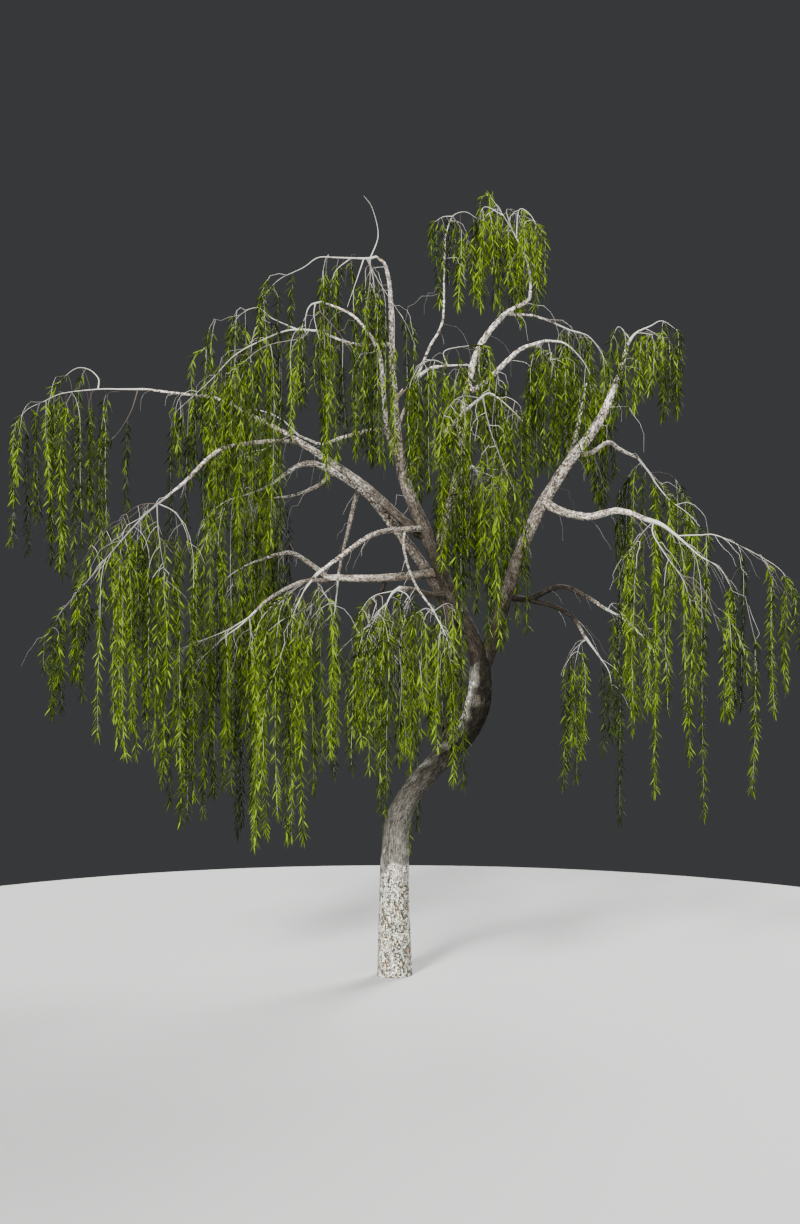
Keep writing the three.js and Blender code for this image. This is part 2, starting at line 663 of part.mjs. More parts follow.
function placeOnRow({ points, runs, length }, share) {
  const run = Math.min(Math.max(share, 0), ROW_END) * length;
  const i = runs.findIndex((end, k) => k > 0 && run <= end);
  const way = points[i].clone().sub(points[i - 1]).normalize();
  return { point: points[i - 1].clone().addScaledVector(way, run - runs[i - 1]), way };
}

// A point of a hanging strand: it leads outwards from its root, then drops.
function strandPoint(strand, share) {
  const led = Math.min(share / STRAND.arch, 1);
  const out = strand.offset * (1 - (1 - led) ** 2);
  const rise = STRAND.lift * strand.offset * Math.sin(Math.PI * led);
  return new THREE.Vector3(
    strand.root.x + Math.cos(strand.heading) * out,
    strand.root.y + Math.sin(strand.heading) * out,
    strand.root.z + rise - strand.drop * share ** STRAND.fall,
  );
}

// A spray as a folded blade of six faces, its root sunk in the twig.
function blade(root, way, side, length) {
  const face = new THREE.Vector3().crossVectors(way, side).normalize();
  const start = root.clone().addScaledVector(way, -BLADE.sunk);
  const middle = start.clone().addScaledVector(way, length * BLADE.widest);
  const left = middle.clone().addScaledVector(side, (-length * BLADE.width) / 2);
  const right = middle.clone().addScaledVector(side, (length * BLADE.width) / 2);
  const ridge = middle.clone().addScaledVector(face, length * BLADE.thick);
  const tip = start.clone().addScaledVector(way, length);
  const positions = [start, left, right, ridge, tip].flatMap((p) => [...p]);
  return solidFrom(positions, [0, 1, 3, 0, 3, 2, 0, 2, 1, 4, 3, 1, 4, 2, 3, 4, 1, 2]);
}

// The twig of a strand with its last blade as its tip, and the stretches that it takes up.
function strandTwig(strand, owner) {
  const bladeShare = Math.max(1 - BLADE.longest / strand.drop, 0.5);
  const widestShare = THREE.MathUtils.lerp(bladeShare, 1, BLADE.widest);
  const points = [0, STRAND.bend, bladeShare, widestShare, 1].map((share) => strandPoint(strand, share));
  const length = points[2].distanceTo(points[4]);
  const halfWidth = (length * BLADE.width) / 2;
  const radii = [
    [STRAND.root, STRAND.root],
    [STRAND.hang, STRAND.hang],
    [STRAND.end, STRAND.end],
    [length * BLADE.thick * BLADE.tipThick, halfWidth / Math.sin((Math.PI * 2) / TWIG_SIDES)],
    [0, 0],
  ];
  const facing = new THREE.Vector3(-Math.sin(strand.heading), Math.cos(strand.heading), 0);
  const reaches = [STRAND.root, STRAND.hang, STRAND.hang, halfWidth, halfWidth];
  return {
    stretches: stretchesAlong(points, reaches, owner),
    solid: () => tube(points, directions(points), TWIG_SIDES, (ring) => radii[ring], facing),
    hanging: [points[1], points[2]],
  };
}

// The blades along the hanging part of a strand, above its last one, each on one face of the twig.
function strandBlades(strand, [top, bottom], mass, taken, owner) {
  const run = top.distanceTo(bottom);
  const count = Math.round(run / BLADE.every);
  for (let i = 0; i < count; i++) {
    const base = top.clone().lerp(bottom, (i + 0.15) / count);
    const turn = strand.heading + ((i + 1) * Math.PI * 2) / TWIG_SIDES;
    const flat = Math.sin(BLADE.tilt);
    const way = new THREE.Vector3(Math.cos(turn) * flat, Math.sin(turn) * flat, -Math.cos(BLADE.tilt));
    const side = new THREE.Vector3(-Math.sin(turn), Math.cos(turn), 0);
    const length = Math.min((run / count) * 1.1, BLADE.longest);
    const end = base.clone().addScaledVector(way, length);
    const stretch = { start: base, end, reach: (length * BLADE.width) / 2, owner };
    if (touches(stretch, taken, owner)) continue;
    mass.solids.push(blade(base, way, side, length));
    taken.push(stretch);
  }
}

function taperedRadii(count, from, to) {
  return Array.from({ length: count }, (_, i) => THREE.MathUtils.lerp(from, to, i / (count - 1)));
}

// The stem and arms of the mass that grows on from the tip of a limb.
function foliageFrame(limb, line, taken) {
  const { name, stem, arms, hem, from } = limb.foliage;
  const mass = { name, limb, solids: [], bearers: [] };
  const grow = (points, thickness, way, first, ownHem = hem) => {
    const row = measuredRow(points);
    const radii = taperedRadii(points.length, thickness, STEM.end);
    const ways = directions(points, way);
    mass.solids.push(tube(points, ways, TWIG_SIDES, (ring) => [radii[ring], radii[ring]]));
    taken.push(...stretchesAlong(points, radii, name));
    if (first !== null) mass.bearers.push({ row, first, hem: ownHem });
    return row;
  };
  const way = line.ways.at(-1);
  const start = line.points.at(-1).clone().addScaledVector(way, CLEARANCE);
  const thickness = line.radii.at(-1) * STEM.root;
  const stemRow = grow([start, ...stem.map(placed)], thickness, way, from ?? STEM.first);
  for (const arm of arms) {
    const root = placeOnRow(stemRow, Math.max(arm.at, ARM.nearest)).point;
    const first = arm.bare ? null : ARM.first;
    grow([root, ...arm.path.map(placed)], Math.min(thickness, ARM.thickest), null, first, arm.hem);
  }
  return mass;
}

// The place on a mass's stem and arms at a share of their whole length.
function bearingPlace(mass, share) {
  let run = share * mass.bearers.reduce((sum, { row }) => sum + row.length, 0);
  for (const { row, first, hem } of mass.bearers) {
    if (run <= row.length) return { hem, ...placeOnRow(row, first + (1 - first) * (run / row.length)) };
    run -= row.length;
  }
  const { row, hem } = mass.bearers.at(-1);
  return { hem, ...placeOnRow(row, 1) };
}

// Hangs the strands of a mass. taken holds the stretches of every limb, stem and strand made so far, and gets
// the new ones. A strand that would touch another is turned, shortened and tried again.
function hangStrands(mass, taken) {
  const { name, seed, strands, spread } = mass.limb.foliage;
  const draw = seededDraws(seed);
  for (let i = 0; i < strands; i++) {
    const owner = `${name}_strand_${i}`;
    const { point: root, way, hem } = bearingPlace(mass, (i + 0.5 + 0.5 * (draw() - 0.5)) / strands);
    const onward = Math.atan2(way.y, way.x);
    const [turn, reach, fall] = [draw(), draw(), draw()];
    const hemHeight = placed([0, THREE.MathUtils.lerp(hem[0], hem[1], fall), root.y]).z;
    const drop = Math.max(root.z - hemHeight, STRAND.shortest);
    for (let attempt = 0; attempt < STRAND.tries; attempt++) {
      const strand = {
        root,
        heading: onward + (i % 2 ? 1 : -1) * (STRAND.turn + STRAND.swing * turn) + attempt * GOLDEN_ANGLE,
        offset: spread * THREE.MathUtils.lerp(STRAND.least, 1, reach) * (1 - STRAND.nearer * attempt),
        drop: drop * (1 - STRAND.shorter * attempt),
      };
      const twig = strandTwig(strand, owner);
      if (twig.stretches.some((stretch, k) => touches(stretch, taken, k === 0 ? name : null))) continue;
      mass.solids.push(twig.solid());
      taken.push(...twig.stretches);
      strandBlades(strand, twig.hanging, mass, taken, owner);
      break;
    }
  }
}

function meshOf(name, solid, material) {
  const made = solid.getMesh();
  const geometry = new THREE.BufferGeometry();
  geometry.setAttribute("position", new THREE.BufferAttribute(new Float32Array(made.vertProperties), 3));
  geometry.setIndex(new THREE.BufferAttribute(new Uint32Array(made.triVerts), 1));
  geometry.computeVertexNormals();
  const mesh = new THREE.Mesh(geometry, material);
  mesh.name = name;
  return mesh;
}

function buildTree() {
  const tree = new THREE.Group();
  const grown = [];
  const taken = [];
  const lines = LIMBS.map(limbLine);
  LIMBS.forEach((limb, i) => {
    let solid = limbSolid(lines[i], 0);
    for (const earlier of grown) if (boxesMeet(solid, earlier)) solid = solid.subtract(earlier);
    tree.add(meshOf(limb.name, largestPiece(solid), limb.name === "trunk" ? BARK : BOUGH_BARK));
    grown.push(limbSolid(lines[i], CLEARANCE));
    taken.push(...stretchesAlong(lines[i].points, lines[i].radii, limb.name));
  });
  const masses = [];
  LIMBS.forEach((limb, i) => {
    if (limb.foliage) masses.push(foliageFrame(limb, lines[i], taken));
  });
  for (const mass of masses) {
    hangStrands(mass, taken);
    tree.add(meshOf(mass.name, largestPiece(Manifold.union(mass.solids)), LEAF_GREEN));
  }
  return tree;
}

export default buildTree();
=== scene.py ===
import math

import bpy
import numpy as np
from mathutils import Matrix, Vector, noise


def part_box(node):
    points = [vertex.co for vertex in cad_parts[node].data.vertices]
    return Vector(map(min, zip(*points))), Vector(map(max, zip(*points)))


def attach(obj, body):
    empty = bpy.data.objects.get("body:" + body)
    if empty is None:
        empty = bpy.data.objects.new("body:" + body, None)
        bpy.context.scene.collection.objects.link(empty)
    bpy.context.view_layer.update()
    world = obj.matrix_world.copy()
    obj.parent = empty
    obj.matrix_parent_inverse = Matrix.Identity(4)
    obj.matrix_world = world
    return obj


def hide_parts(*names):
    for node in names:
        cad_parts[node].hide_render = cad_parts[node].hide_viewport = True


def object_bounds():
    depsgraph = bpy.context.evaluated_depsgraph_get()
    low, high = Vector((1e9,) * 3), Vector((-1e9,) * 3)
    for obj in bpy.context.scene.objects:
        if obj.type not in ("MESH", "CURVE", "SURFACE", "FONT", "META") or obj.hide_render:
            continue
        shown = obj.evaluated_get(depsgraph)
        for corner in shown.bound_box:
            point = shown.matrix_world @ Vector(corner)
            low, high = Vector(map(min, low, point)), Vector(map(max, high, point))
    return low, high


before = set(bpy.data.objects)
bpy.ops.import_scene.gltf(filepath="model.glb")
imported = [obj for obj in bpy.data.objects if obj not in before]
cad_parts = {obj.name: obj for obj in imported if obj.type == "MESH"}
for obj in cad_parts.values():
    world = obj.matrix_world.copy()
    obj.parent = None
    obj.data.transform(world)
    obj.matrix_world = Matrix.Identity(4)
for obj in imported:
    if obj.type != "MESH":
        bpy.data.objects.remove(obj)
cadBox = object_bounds()
mm = 0.001  # the tree's own sizes are kept in millimetres, as in its CAD part

# A point of the tree is kept as [right, up, back]: right of the trunk's foot and above the ground as it shows
# on the upright plane through that foot, from the eye, and how far behind that plane it lies.
eyeSettings = {
    "right": 72,
    "up": 4356,
    "away": 22000,
    "lens": 53.9,
    "sensor": 36,
    "farthest": 400000,
}

# Every limb, each after the one that carries it. thick is its radius at even steps from its start to its tip.
# foliage is the mass that grows on from the tip: its stem, the arms that leave the stem at a share of its
# length, how many bundles of strands hang from them, the heights that their tips come down to, how far they
# lead outwards, and from which share of the stem on, where that isn't the usual one.
limbs = {
    "trunk": {
        "thick": [205, 182, 166, 150, 138, 132, 133, 142, 150, 138, 96],
        "path": [[0, 0, 0], [0, 840, 0], [10, 1500, 0], [50, 1840, 0], [170, 2120, 0], [400, 2420, 0],
                 [660, 2680, 0], [880, 2940, 0], [1010, 3260, 0], [1040, 3640, 0], [1010, 3900, 0]],
    },
    "bough_left_leader": {
        "thick": [92, 88, 86, 82, 62, 46, 30, 22, 16],
        "path": [[1020, 3700, -10], [940, 4060, -20], [650, 4640, -40], [410, 5240, -20], [140, 5900, 20],
                 [40, 6460, 60], [-20, 7300, 80], [-40, 8120, 60], [-100, 8500, 50], [-210, 8620, 20]],
        "foliage": {
            "name": "foliage_left_leader", "seed": 11, "strands": 8, "hem": [6450, 7500], "spread": 150,
            "stem": [[-330, 8600, -10], [-690, 8610, -80], [-910, 8610, -160], [-1090, 8490, -220],
                     [-1390, 8340, -260], [-1580, 8120, -300]],
            "arms": [
                {"at": 0, "path": [[-190, 8880, 30], [-260, 9200, 20], [-360, 9350, 10]], "bare": True},
                {"at": 0.1, "path": [[-470, 8280, -180], [-560, 8020, -260]]},
                {"at": 0.08, "path": [[-170, 8300, -220], [130, 7840, -300], [260, 7540, -320]]},
                {"at": 0.05, "path": [[-290, 8330, -300], [-330, 8050, -440]], "hem": [5950, 6500]},
            ],
        },
    },
    "bough_right_leader": {
        "thick": [92, 90, 82, 76, 66, 56, 40, 22],
        "path": [[1060, 3660, 20], [1180, 4020, 60], [1400, 4740, 80], [1670, 5440, 40], [2020, 6040, 0],
                 [2440, 6610, 0], [2680, 7140, -40], [2800, 7560, -60]],
        "foliage": {
            "name": "foliage_right_leader", "seed": 12, "strands": 8, "hem": [6650, 7350], "spread": 170,
            "stem": [[2900, 7700, -60], [3080, 7790, -80], [3220, 7850, -100], [3400, 7740, -100]],
            "arms": [
                {"at": 0.1, "path": [[2700, 7780, -160], [2620, 7640, -260]]},
                {"at": 0.3, "path": [[3100, 7640, -350], [3200, 7400, -420]]},
                {"at": 0.4, "path": [[3150, 7680, 250], [3300, 7480, 380]]},
            ],
        },
    },
    "bough_left_stem": {
        "thick": [112, 106, 88, 74, 66, 60],
        "path": [[670, 2640, 20], [690, 3060, 190], [770, 3600, 330], [700, 4260, 480], [400, 4840, 520],
                 [30, 5350, 440]],
    },
    "bough_low_arch": {
        "thick": [58, 54, 50, 40, 30, 22],
        "path": [[20, 5360, 438], [-290, 5740, 370], [-610, 5980, 360], [-950, 6130, 450], [-1130, 6120, 550],
                 [-1310, 6010, 650]],
        "foliage": {
            "name": "foliage_low_arch", "seed": 13, "strands": 8, "hem": [1600, 3700], "spread": 260,
            "stem": [[-1490, 5880, 720], [-1730, 5780, 780], [-1990, 5700, 820], [-2180, 5560, 850],
                     [-2330, 5340, 850]],
            "arms": [{"at": 0.2, "path": [[-1700, 5860, 1050], [-2050, 5700, 1300]]}],
        },
    },
    "bough_arch": {
        "thick": [64, 58, 50, 42, 36],
        "path": [[370, 5250, -30], [110, 5450, -20], [-350, 5870, 0], [-950, 6280, 0], [-1230, 6450, 40]],
    },
    "bough_far_left": {
        "thick": [30, 24, 20, 16, 13],
        "path": [[-1240, 6470, 44], [-1580, 6650, 60], [-2110, 6910, 0], [-2600, 6980, -80],
                 [-2990, 7030, -150]],
        "foliage": {
            "name": "foliage_far_left", "seed": 14, "strands": 9, "hem": [4700, 5900], "spread": 170,
            "stem": [[-3290, 7030, -170], [-3550, 7030, -200], [-3980, 6980, -230], [-4210, 6880, -240],
                     [-4400, 6790, -250], [-4530, 6640, -250]],
            "arms": [
                {"at": 0.04, "path": [[-3160, 6760, -300], [-3320, 6500, -380], [-3500, 6340, -420]]},
                {"at": 0.34, "path": [[-3550, 7160, -100], [-3670, 7270, -60], [-3840, 7270, 0],
                                      [-4080, 7060, 60]]},
            ],
        },
    },
    "bough_left": {
        "thick": [28, 26, 24, 20, 15],
        "path": [[-1170, 6400, -10], [-1550, 6400, -250], [-2090, 6300, -700], [-2510, 5920, -1000],
                 [-2750, 5720, -1150]],
        "foliage": {
            "name": "foliage_left", "seed": 15, "strands": 12, "hem": [2350, 4000], "spread": 230,
            "stem": [[-2990, 5520, -1280], [-3230, 5260, -1380], [-3470, 4980, -1450], [-3770, 4620, -1500],
                     [-3980, 4380, -1520], [-4160, 4080, -1530]],
            "arms": [
                {"at": 0.06, "path": [[-2830, 5340, -1350], [-2780, 4980, -1480], [-2720, 4700, -1560]]},
                {"at": 0.02, "path": [[-3050, 5640, -950], [-3250, 5500, -800], [-3330, 5340, -760]]},
                {"at": 0.02, "path": [[-2640, 5560, -1080], [-2520, 5380, -1000], [-2440, 5100, -950]],
                 "hem": [2350, 3300]},
            ],
        },
    },
    "bough_left_shoulder": {
        "thick": [24, 22, 19, 15],
        "path": [[-30, 7570, 76], [-230, 7560, 0], [-530, 7580, -100], [-910, 7730, -200]],
        "foliage": {
            "name": "foliage_left_shoulder", "seed": 16, "strands": 9, "hem": [5000, 6500], "spread": 240,
            "from": 0.25,
            "stem": [[-1250, 7740, -250], [-1580, 7620, -300], [-1910, 7440, -350], [-2180, 7160, -400],
                     [-2420, 6940, -400], [-2640, 6740, -400]],
            "arms": [
                {"at": 0.02, "path": [[-1130, 7640, -450], [-1560, 7540, -700], [-1910, 7260, -850]]},
                {"at": 0.12, "path": [[-1460, 7880, -100], [-1640, 8010, 0], [-1850, 7920, 60],
                                      [-1960, 7740, 80]]},
            ],
        },
    },
    "bough_inner_left": {
        "thick": [32, 30, 29, 24, 18, 13],
        "path": [[50, 6220, 40], [-80, 6520, -120], [-130, 7080, -220], [-200, 7520, -270],
                 [-480, 7900, -330], [-860, 8080, -400]],
        "foliage": {
            "name": "foliage_inner_left", "seed": 17, "strands": 6, "hem": [5750, 6900], "spread": 190,
            "from": 0.7,
            "stem": [[-1000, 8040, -450], [-1060, 7900, -560], [-1060, 7700, -660]],
            "arms": [
                {"at": 0.05, "path": [[-880, 7960, -650], [-700, 7760, -850], [-520, 7500, -1000]]},
                {"at": 0.15, "path": [[-960, 7900, -800], [-900, 7640, -1050]]},
            ],
        },
    },
    "bough_inner_right": {
        "thick": [27, 25, 22, 16],
        "path": [[-5, 6860, 76], [100, 7000, -50], [400, 7260, -250], [610, 7310, -330]],
        "foliage": {
            "name": "foliage_inner_right", "seed": 18, "strands": 8, "hem": [5650, 6600], "spread": 180,
            "stem": [[850, 7320, -380], [1060, 7300, -430], [1180, 7160, -470]],
            "arms": [
                {"at": 0.02, "path": [[600, 7480, -430], [800, 7540, -500], [1060, 7560, -560]]},
                {"at": 0.3, "path": [[760, 7200, -650], [700, 7000, -800]]},
                {"at": 0.02, "path": [[470, 7380, -560], [310, 7320, -740], [210, 7140, -820]],
                 "hem": [5500, 6300]},
            ],
        },
    },
    "bough_tall_shoot": {
        "thick": [22, 20, 16, 14, 12, 9],
        "path": [[50, 6600, 70], [170, 6900, 190], [410, 7500, 220], [580, 7840, 240], [600, 8400, 250],
                 [620, 8880, 250]],
        "foliage": {
            "name": "foliage_tall_shoot", "seed": 19, "strands": 5, "hem": [8050, 8600], "spread": 90,
            "stem": [[700, 9100, 250], [850, 9160, 250], [1000, 9080, 250]],
            "arms": [
                {"at": 0.42, "path": [[590, 9100, 180], [490, 9040, 150]]},
                {"at": 0.42, "path": [[800, 8960, 130], [920, 8700, 90], [820, 8480, 90]]},
            ],
        },
    },
    "bough_crown": {
        "thick": [56, 52, 48, 46, 40, 32, 24, 17],
        "path": [[500, 5030, -20], [620, 5460, 120], [790, 6180, 320], [860, 6900, 400], [1010, 7500, 400],
                 [1310, 7910, 400], [1600, 8090, 400], [1640, 8240, 400]],
        "foliage": {
            "name": "foliage_crown", "seed": 20, "strands": 8, "hem": [7900, 8700], "spread": 170,
            "stem": [[1610, 8520, 400], [1450, 8880, 400], [1270, 9180, 400], [1130, 9380, 400]],
            "arms": [
                {"at": 0.5, "path": [[1500, 9180, 320], [1640, 9120, 260], [1780, 8860, 200]]},
                {"at": 0.6, "path": [[1350, 9180, 600], [1450, 9140, 780], [1560, 8960, 900]]},
                {"at": 0.75, "path": [[1090, 9220, 340], [1010, 9050, 310]]},
            ],
        },
    },
    "bough_middle_right": {
        "thick": [36, 33, 30, 26, 18],
        "path": [[870, 7000, 380], [1060, 7080, 250], [1370, 7380, 100], [1540, 7520, 50], [1810, 7610, 0]],
        "foliage": {
            "name": "foliage_middle_right", "seed": 21, "strands": 6, "hem": [5600, 6800], "spread": 200,
            "stem": [[2050, 7580, -60], [2260, 7380, -120], [2380, 7160, -180]],
            "arms": [
                {"at": 0.05, "path": [[1880, 7460, -260], [1930, 7260, -420]]},
                {"at": 0.1, "path": [[1720, 7560, -300], [1640, 7300, -560]]},
            ],
        },
    },
    "bough_upper_right": {
        "thick": [19, 17, 14, 11],
        "path": [[1340, 7930, 410], [1610, 7920, 520], [1810, 7870, 600], [1970, 7800, 650]],
        "foliage": {
            "name": "foliage_upper_right", "seed": 22, "strands": 5, "hem": [5900, 6900], "spread": 180,
            "stem": [[2140, 7730, 700], [2330, 7670, 740], [2470, 7500, 750], [2560, 7320, 750]],
            "arms": [{"at": 0.1, "path": [[2080, 7740, 950], [2240, 7600, 1150]]}],
        },
    },
    "bough_front": {
        "thick": [36, 33, 28, 22, 16],
        "path": [[120, 5960, 10], [260, 6170, -200], [640, 6540, -700], [850, 6760, -1000],
                 [1010, 6900, -1250]],
        "foliage": {
            "name": "foliage_front", "seed": 23, "strands": 9, "hem": [3750, 5300], "spread": 260,
            "stem": [[1150, 6980, -1450], [1330, 6860, -1750], [1540, 6660, -2050]],
            "arms": [
                {"at": 0.1, "path": [[1100, 6760, -1800], [1180, 6460, -2200], [1300, 6160, -2600],
                                     [1420, 5860, -3050]]},
                {"at": 0.05, "path": [[800, 6940, -1600], [620, 6760, -1950], [560, 6500, -2200]]},
            ],
        },
    },
    "bough_right": {
        "thick": [54, 50, 44, 38, 30],
        "path": [[1770, 5700, 20], [1990, 5570, -120], [2330, 5500, -300], [2690, 5570, -500],
                 [3050, 5460, -640]],
        "foliage": {
            "name": "foliage_right", "seed": 24, "strands": 13, "hem": [1850, 3900], "spread": 230,
            "stem": [[3220, 5400, -700], [3430, 5240, -780], [3670, 5030, -860], [3910, 4880, -920],
                     [4060, 4620, -960]],
            "arms": [
                {"at": 0.3, "path": [[3670, 5280, -700], [3890, 5270, -650], [4330, 5060, -600],
                                     [4640, 4860, -560], [4780, 4620, -540]], "hem": [3150, 4100]},
                {"at": 0.02, "path": [[3110, 5290, -900], [3260, 5040, -1050], [3470, 4740, -1250],
                                      [3560, 4440, -1500]]},
                {"at": 0.04, "path": [[2980, 5300, -1050], [2800, 5040, -1550]]},
            ],
        },
    },
    "bough_right_back": {
        "thick": [32, 29, 26, 23, 16],
        "path": [[2200, 6260, 10], [2350, 6260, 260], [2570, 6390, 650], [2710, 6310, 830],
                 [2930, 6200, 950]],
        "foliage": {
            "name": "foliage_right_back", "seed": 25, "strands": 7, "hem": [3700, 5100], "spread": 200,
            "stem": [[3070, 6020, 1000], [3150, 5890, 1030], [3310, 5700, 1050], [3550, 5520, 1060],
                     [3740, 5290, 1060]],
            "arms": [
                {"at": 0.02, "path": [[2870, 6060, 1200], [2760, 5840, 1350]]},
                {"at": 0.08, "path": [[3120, 5980, 1450], [3330, 5720, 1850]]},
            ],
        },
    },
    "bough_low_right": {
        "thick": [42, 38, 32, 27, 19],
        "path": [[1390, 4530, 90], [1630, 4520, 300], [1990, 4660, 550], [2290, 4550, 720],
                 [2530, 4400, 800]],
        "foliage": {
            "name": "foliage_low_right", "seed": 26, "strands": 7, "hem": [2500, 3600], "spread": 210,
            "stem": [[2740, 4280, 850], [2930, 4120, 900], [3110, 3920, 950]],
            "arms": [
                {"at": 0.05, "path": [[2640, 4460, 1150], [2850, 4380, 1500], [3050, 4120, 1800]]},
                {"at": 0.2, "path": [[2780, 4300, 600], [2860, 4100, 350]]},
            ],
        },
    },
    "bough_low_right_inner": {
        "thick": [32, 30, 26, 19],
        "path": [[1620, 4500, 300], [1900, 4430, 370], [2140, 4300, 420], [2290, 4060, 440]],
        "foliage": {
            "name": "foliage_low_right_inner", "seed": 27, "strands": 6, "hem": [1700, 2900], "spread": 190,
            "stem": [[2450, 3840, 460], [2580, 3640, 480], [2620, 3400, 480]],
            "arms": [
                {"at": 0.02, "path": [[2180, 3980, 700], [2120, 3800, 950]]},
                {"at": 0.05, "path": [[2230, 3960, 200], [2180, 3760, 20]]},
            ],
        },
    },
    "bough_front_left": {
        "thick": [38, 34, 30, 26, 19],
        "path": [[370, 5350, -10], [170, 5350, -250], [-240, 5290, -700], [-670, 5000, -1150],
                 [-910, 4820, -1350]],
        "foliage": {
            "name": "foliage_front_left", "seed": 28, "strands": 8, "hem": [1250, 2900], "spread": 240,
            "stem": [[-1060, 4640, -1500], [-1160, 4440, -1600], [-1280, 4180, -1700]],
            "arms": [
                {"at": 0.08, "path": [[-1200, 4640, -1850], [-1520, 4360, -2400]]},
                {"at": 0.05, "path": [[-900, 4660, -1750], [-760, 4460, -2050]]},
                {"at": 0.05, "path": [[-1150, 4660, -1250], [-1380, 4440, -1150]]},
            ],
        },
    },
    "bough_front_drop": {
        "thick": [17, 16, 14, 11],
        "path": [[130, 5340, -290], [120, 5100, -650], [240, 4720, -1200], [460, 4390, -1750]],
        "foliage": {
            "name": "foliage_front_drop", "seed": 29, "strands": 8, "hem": [2150, 3300], "spread": 180,
            "stem": [[580, 4160, -2000], [660, 3960, -2150], [720, 3740, -2250]],
            "arms": [
                {"at": 0.1, "path": [[380, 4400, -2150], [200, 4300, -2500]]},
                {"at": 0.05, "path": [[640, 4460, -1700], [780, 4380, -1560]]},
            ],
        },
    },
    "bough_front_low": {
        "thick": [46, 42, 36, 27],
        "path": [[620, 4560, -20], [430, 4560, -330], [220, 4620, -750], [70, 4640, -1100]],
        "foliage": {
            "name": "foliage_front_low", "seed": 30, "strands": 9, "hem": [1900, 3300], "spread": 240,
            "stem": [[-20, 4580, -1450], [-90, 4440, -1850], [-130, 4240, -2250]],
            "arms": [
                {"at": 0.1, "path": [[160, 4560, -1450], [240, 4400, -1700]]},
                {"at": 0.15, "path": [[-260, 4540, -1700], [-420, 4340, -1950]]},
                {"at": 0.6, "path": [[-200, 4340, -2600], [-320, 4060, -3100]]},
            ],
        },
    },
    "bough_low_left": {
        "thick": [58, 54, 46, 38],
        "path": [[560, 4840, -30], [310, 4800, 100], [-260, 4760, 340], [-830, 4770, 590]],
    },
    "bough_low_left_curl": {
        "thick": [35, 32, 27, 22, 15],
        "path": [[-800, 4770, 570], [-960, 4900, 680], [-1210, 5060, 850], [-1390, 5050, 950],
                 [-1580, 4990, 1050]],
        "foliage": {
            "name": "foliage_low_left_curl", "seed": 31, "strands": 6, "hem": [2000, 3300], "spread": 230,
            "stem": [[-1790, 4910, 1150], [-1990, 4780, 1250], [-2180, 4600, 1350]],
            "arms": [{"at": 0.05, "path": [[-1720, 4900, 1450], [-1850, 4760, 1850], [-2000, 4540, 2200]]}],
        },
    },
    "bough_low_left_sweep": {
        "thick": [28, 25, 20, 13],
        "path": [[-800, 4740, 560], [-1130, 4710, 400], [-1490, 4520, 150], [-1670, 4360, 0]],
        "foliage": {
            "name": "foliage_low_left_sweep", "seed": 32, "strands": 8, "hem": [1500, 2900], "spread": 230,
            "stem": [[-1850, 4190, -150], [-2030, 4060, -250], [-2270, 3840, -350], [-2470, 3680, -400]],
            "arms": [
                {"at": 0.1, "path": [[-2000, 4140, -500], [-2350, 4000, -700], [-2750, 3840, -850]]},
                {"at": 0.1, "path": [[-1720, 4080, -420], [-1760, 3860, -640]]},
            ],
        },
    },
    "bough_low_middle": {
        "thick": [28, 25, 22, 17],
        "path": [[-100, 4750, 270], [-160, 4580, 500], [-280, 4440, 780], [-300, 4260, 950]],
        "foliage": {
            "name": "foliage_low_middle", "seed": 33, "strands": 7, "hem": [2100, 3200], "spread": 230,
            "stem": [[-280, 4060, 1150], [-220, 3860, 1400], [-180, 3700, 1600]],
            "arms": [
                {"at": 0.1, "path": [[-480, 4060, 1250], [-640, 3900, 1450]]},
                {"at": 0.1, "path": [[-90, 4120, 1100], [100, 3960, 1150]]},
                {"at": 0.5, "path": [[0, 3860, 1680], [240, 3700, 1760]], "hem": [1150, 1500]},
            ],
        },
    },
    "bough_hanger": {
        "thick": [30, 27, 23, 17],
        "path": [[-430, 5840, 370], [-500, 5560, 470], [-620, 5030, 640], [-670, 4790, 740]],
        "foliage": {
            "name": "foliage_hanger", "seed": 34, "strands": 5, "hem": [2000, 3300], "spread": 220,
            "stem": [[-690, 4560, 800], [-720, 4300, 850], [-760, 4100, 880]],
            "arms": [
                {"at": 0.1, "path": [[-860, 4560, 950], [-1060, 4360, 1150]]},
                {"at": 0.1, "path": [[-980, 4500, 620], [-1200, 4300, 500]]},
            ],
        },
    },
    "bough_back_left": {
        "thick": [27, 24, 21, 17],
        "path": [[-730, 6030, 390], [-890, 5890, 620], [-1070, 5800, 900], [-1270, 5740, 1250]],
        "foliage": {
            "name": "foliage_back_left", "seed": 35, "strands": 7, "hem": [2600, 4200], "spread": 240,
            "stem": [[-1460, 5720, 1600], [-1700, 5620, 2000], [-1900, 5420, 2400]],
            "arms": [{"at": 0.2, "path": [[-1480, 5700, 2050], [-1420, 5520, 2600], [-1450, 5260, 3050]]}],
        },
    },
    "bough_high_back_left": {
        "thick": [27, 25, 22, 18, 13],
        "path": [[30, 6460, 80], [-230, 6540, 400], [-650, 6440, 900], [-860, 6370, 1080],
                 [-1140, 6470, 1250]],
        "foliage": {
            "name": "foliage_high_back_left", "seed": 36, "strands": 6, "hem": [4000, 5600], "spread": 230,
            "stem": [[-1340, 6660, 1400], [-1550, 6760, 1550], [-1760, 6780, 1700], [-2030, 6700, 1850],
                     [-2200, 6520, 1950]],
            "arms": [
                {"at": 0.02, "path": [[-1370, 6410, 1420], [-1610, 6280, 1500], [-1900, 6080, 1550]]},
                {"at": 0.4, "path": [[-1540, 6740, 1900], [-1560, 6560, 2300]]},
            ],
        },
    },
    "bough_back": {
        "thick": [42, 38, 32, 24],
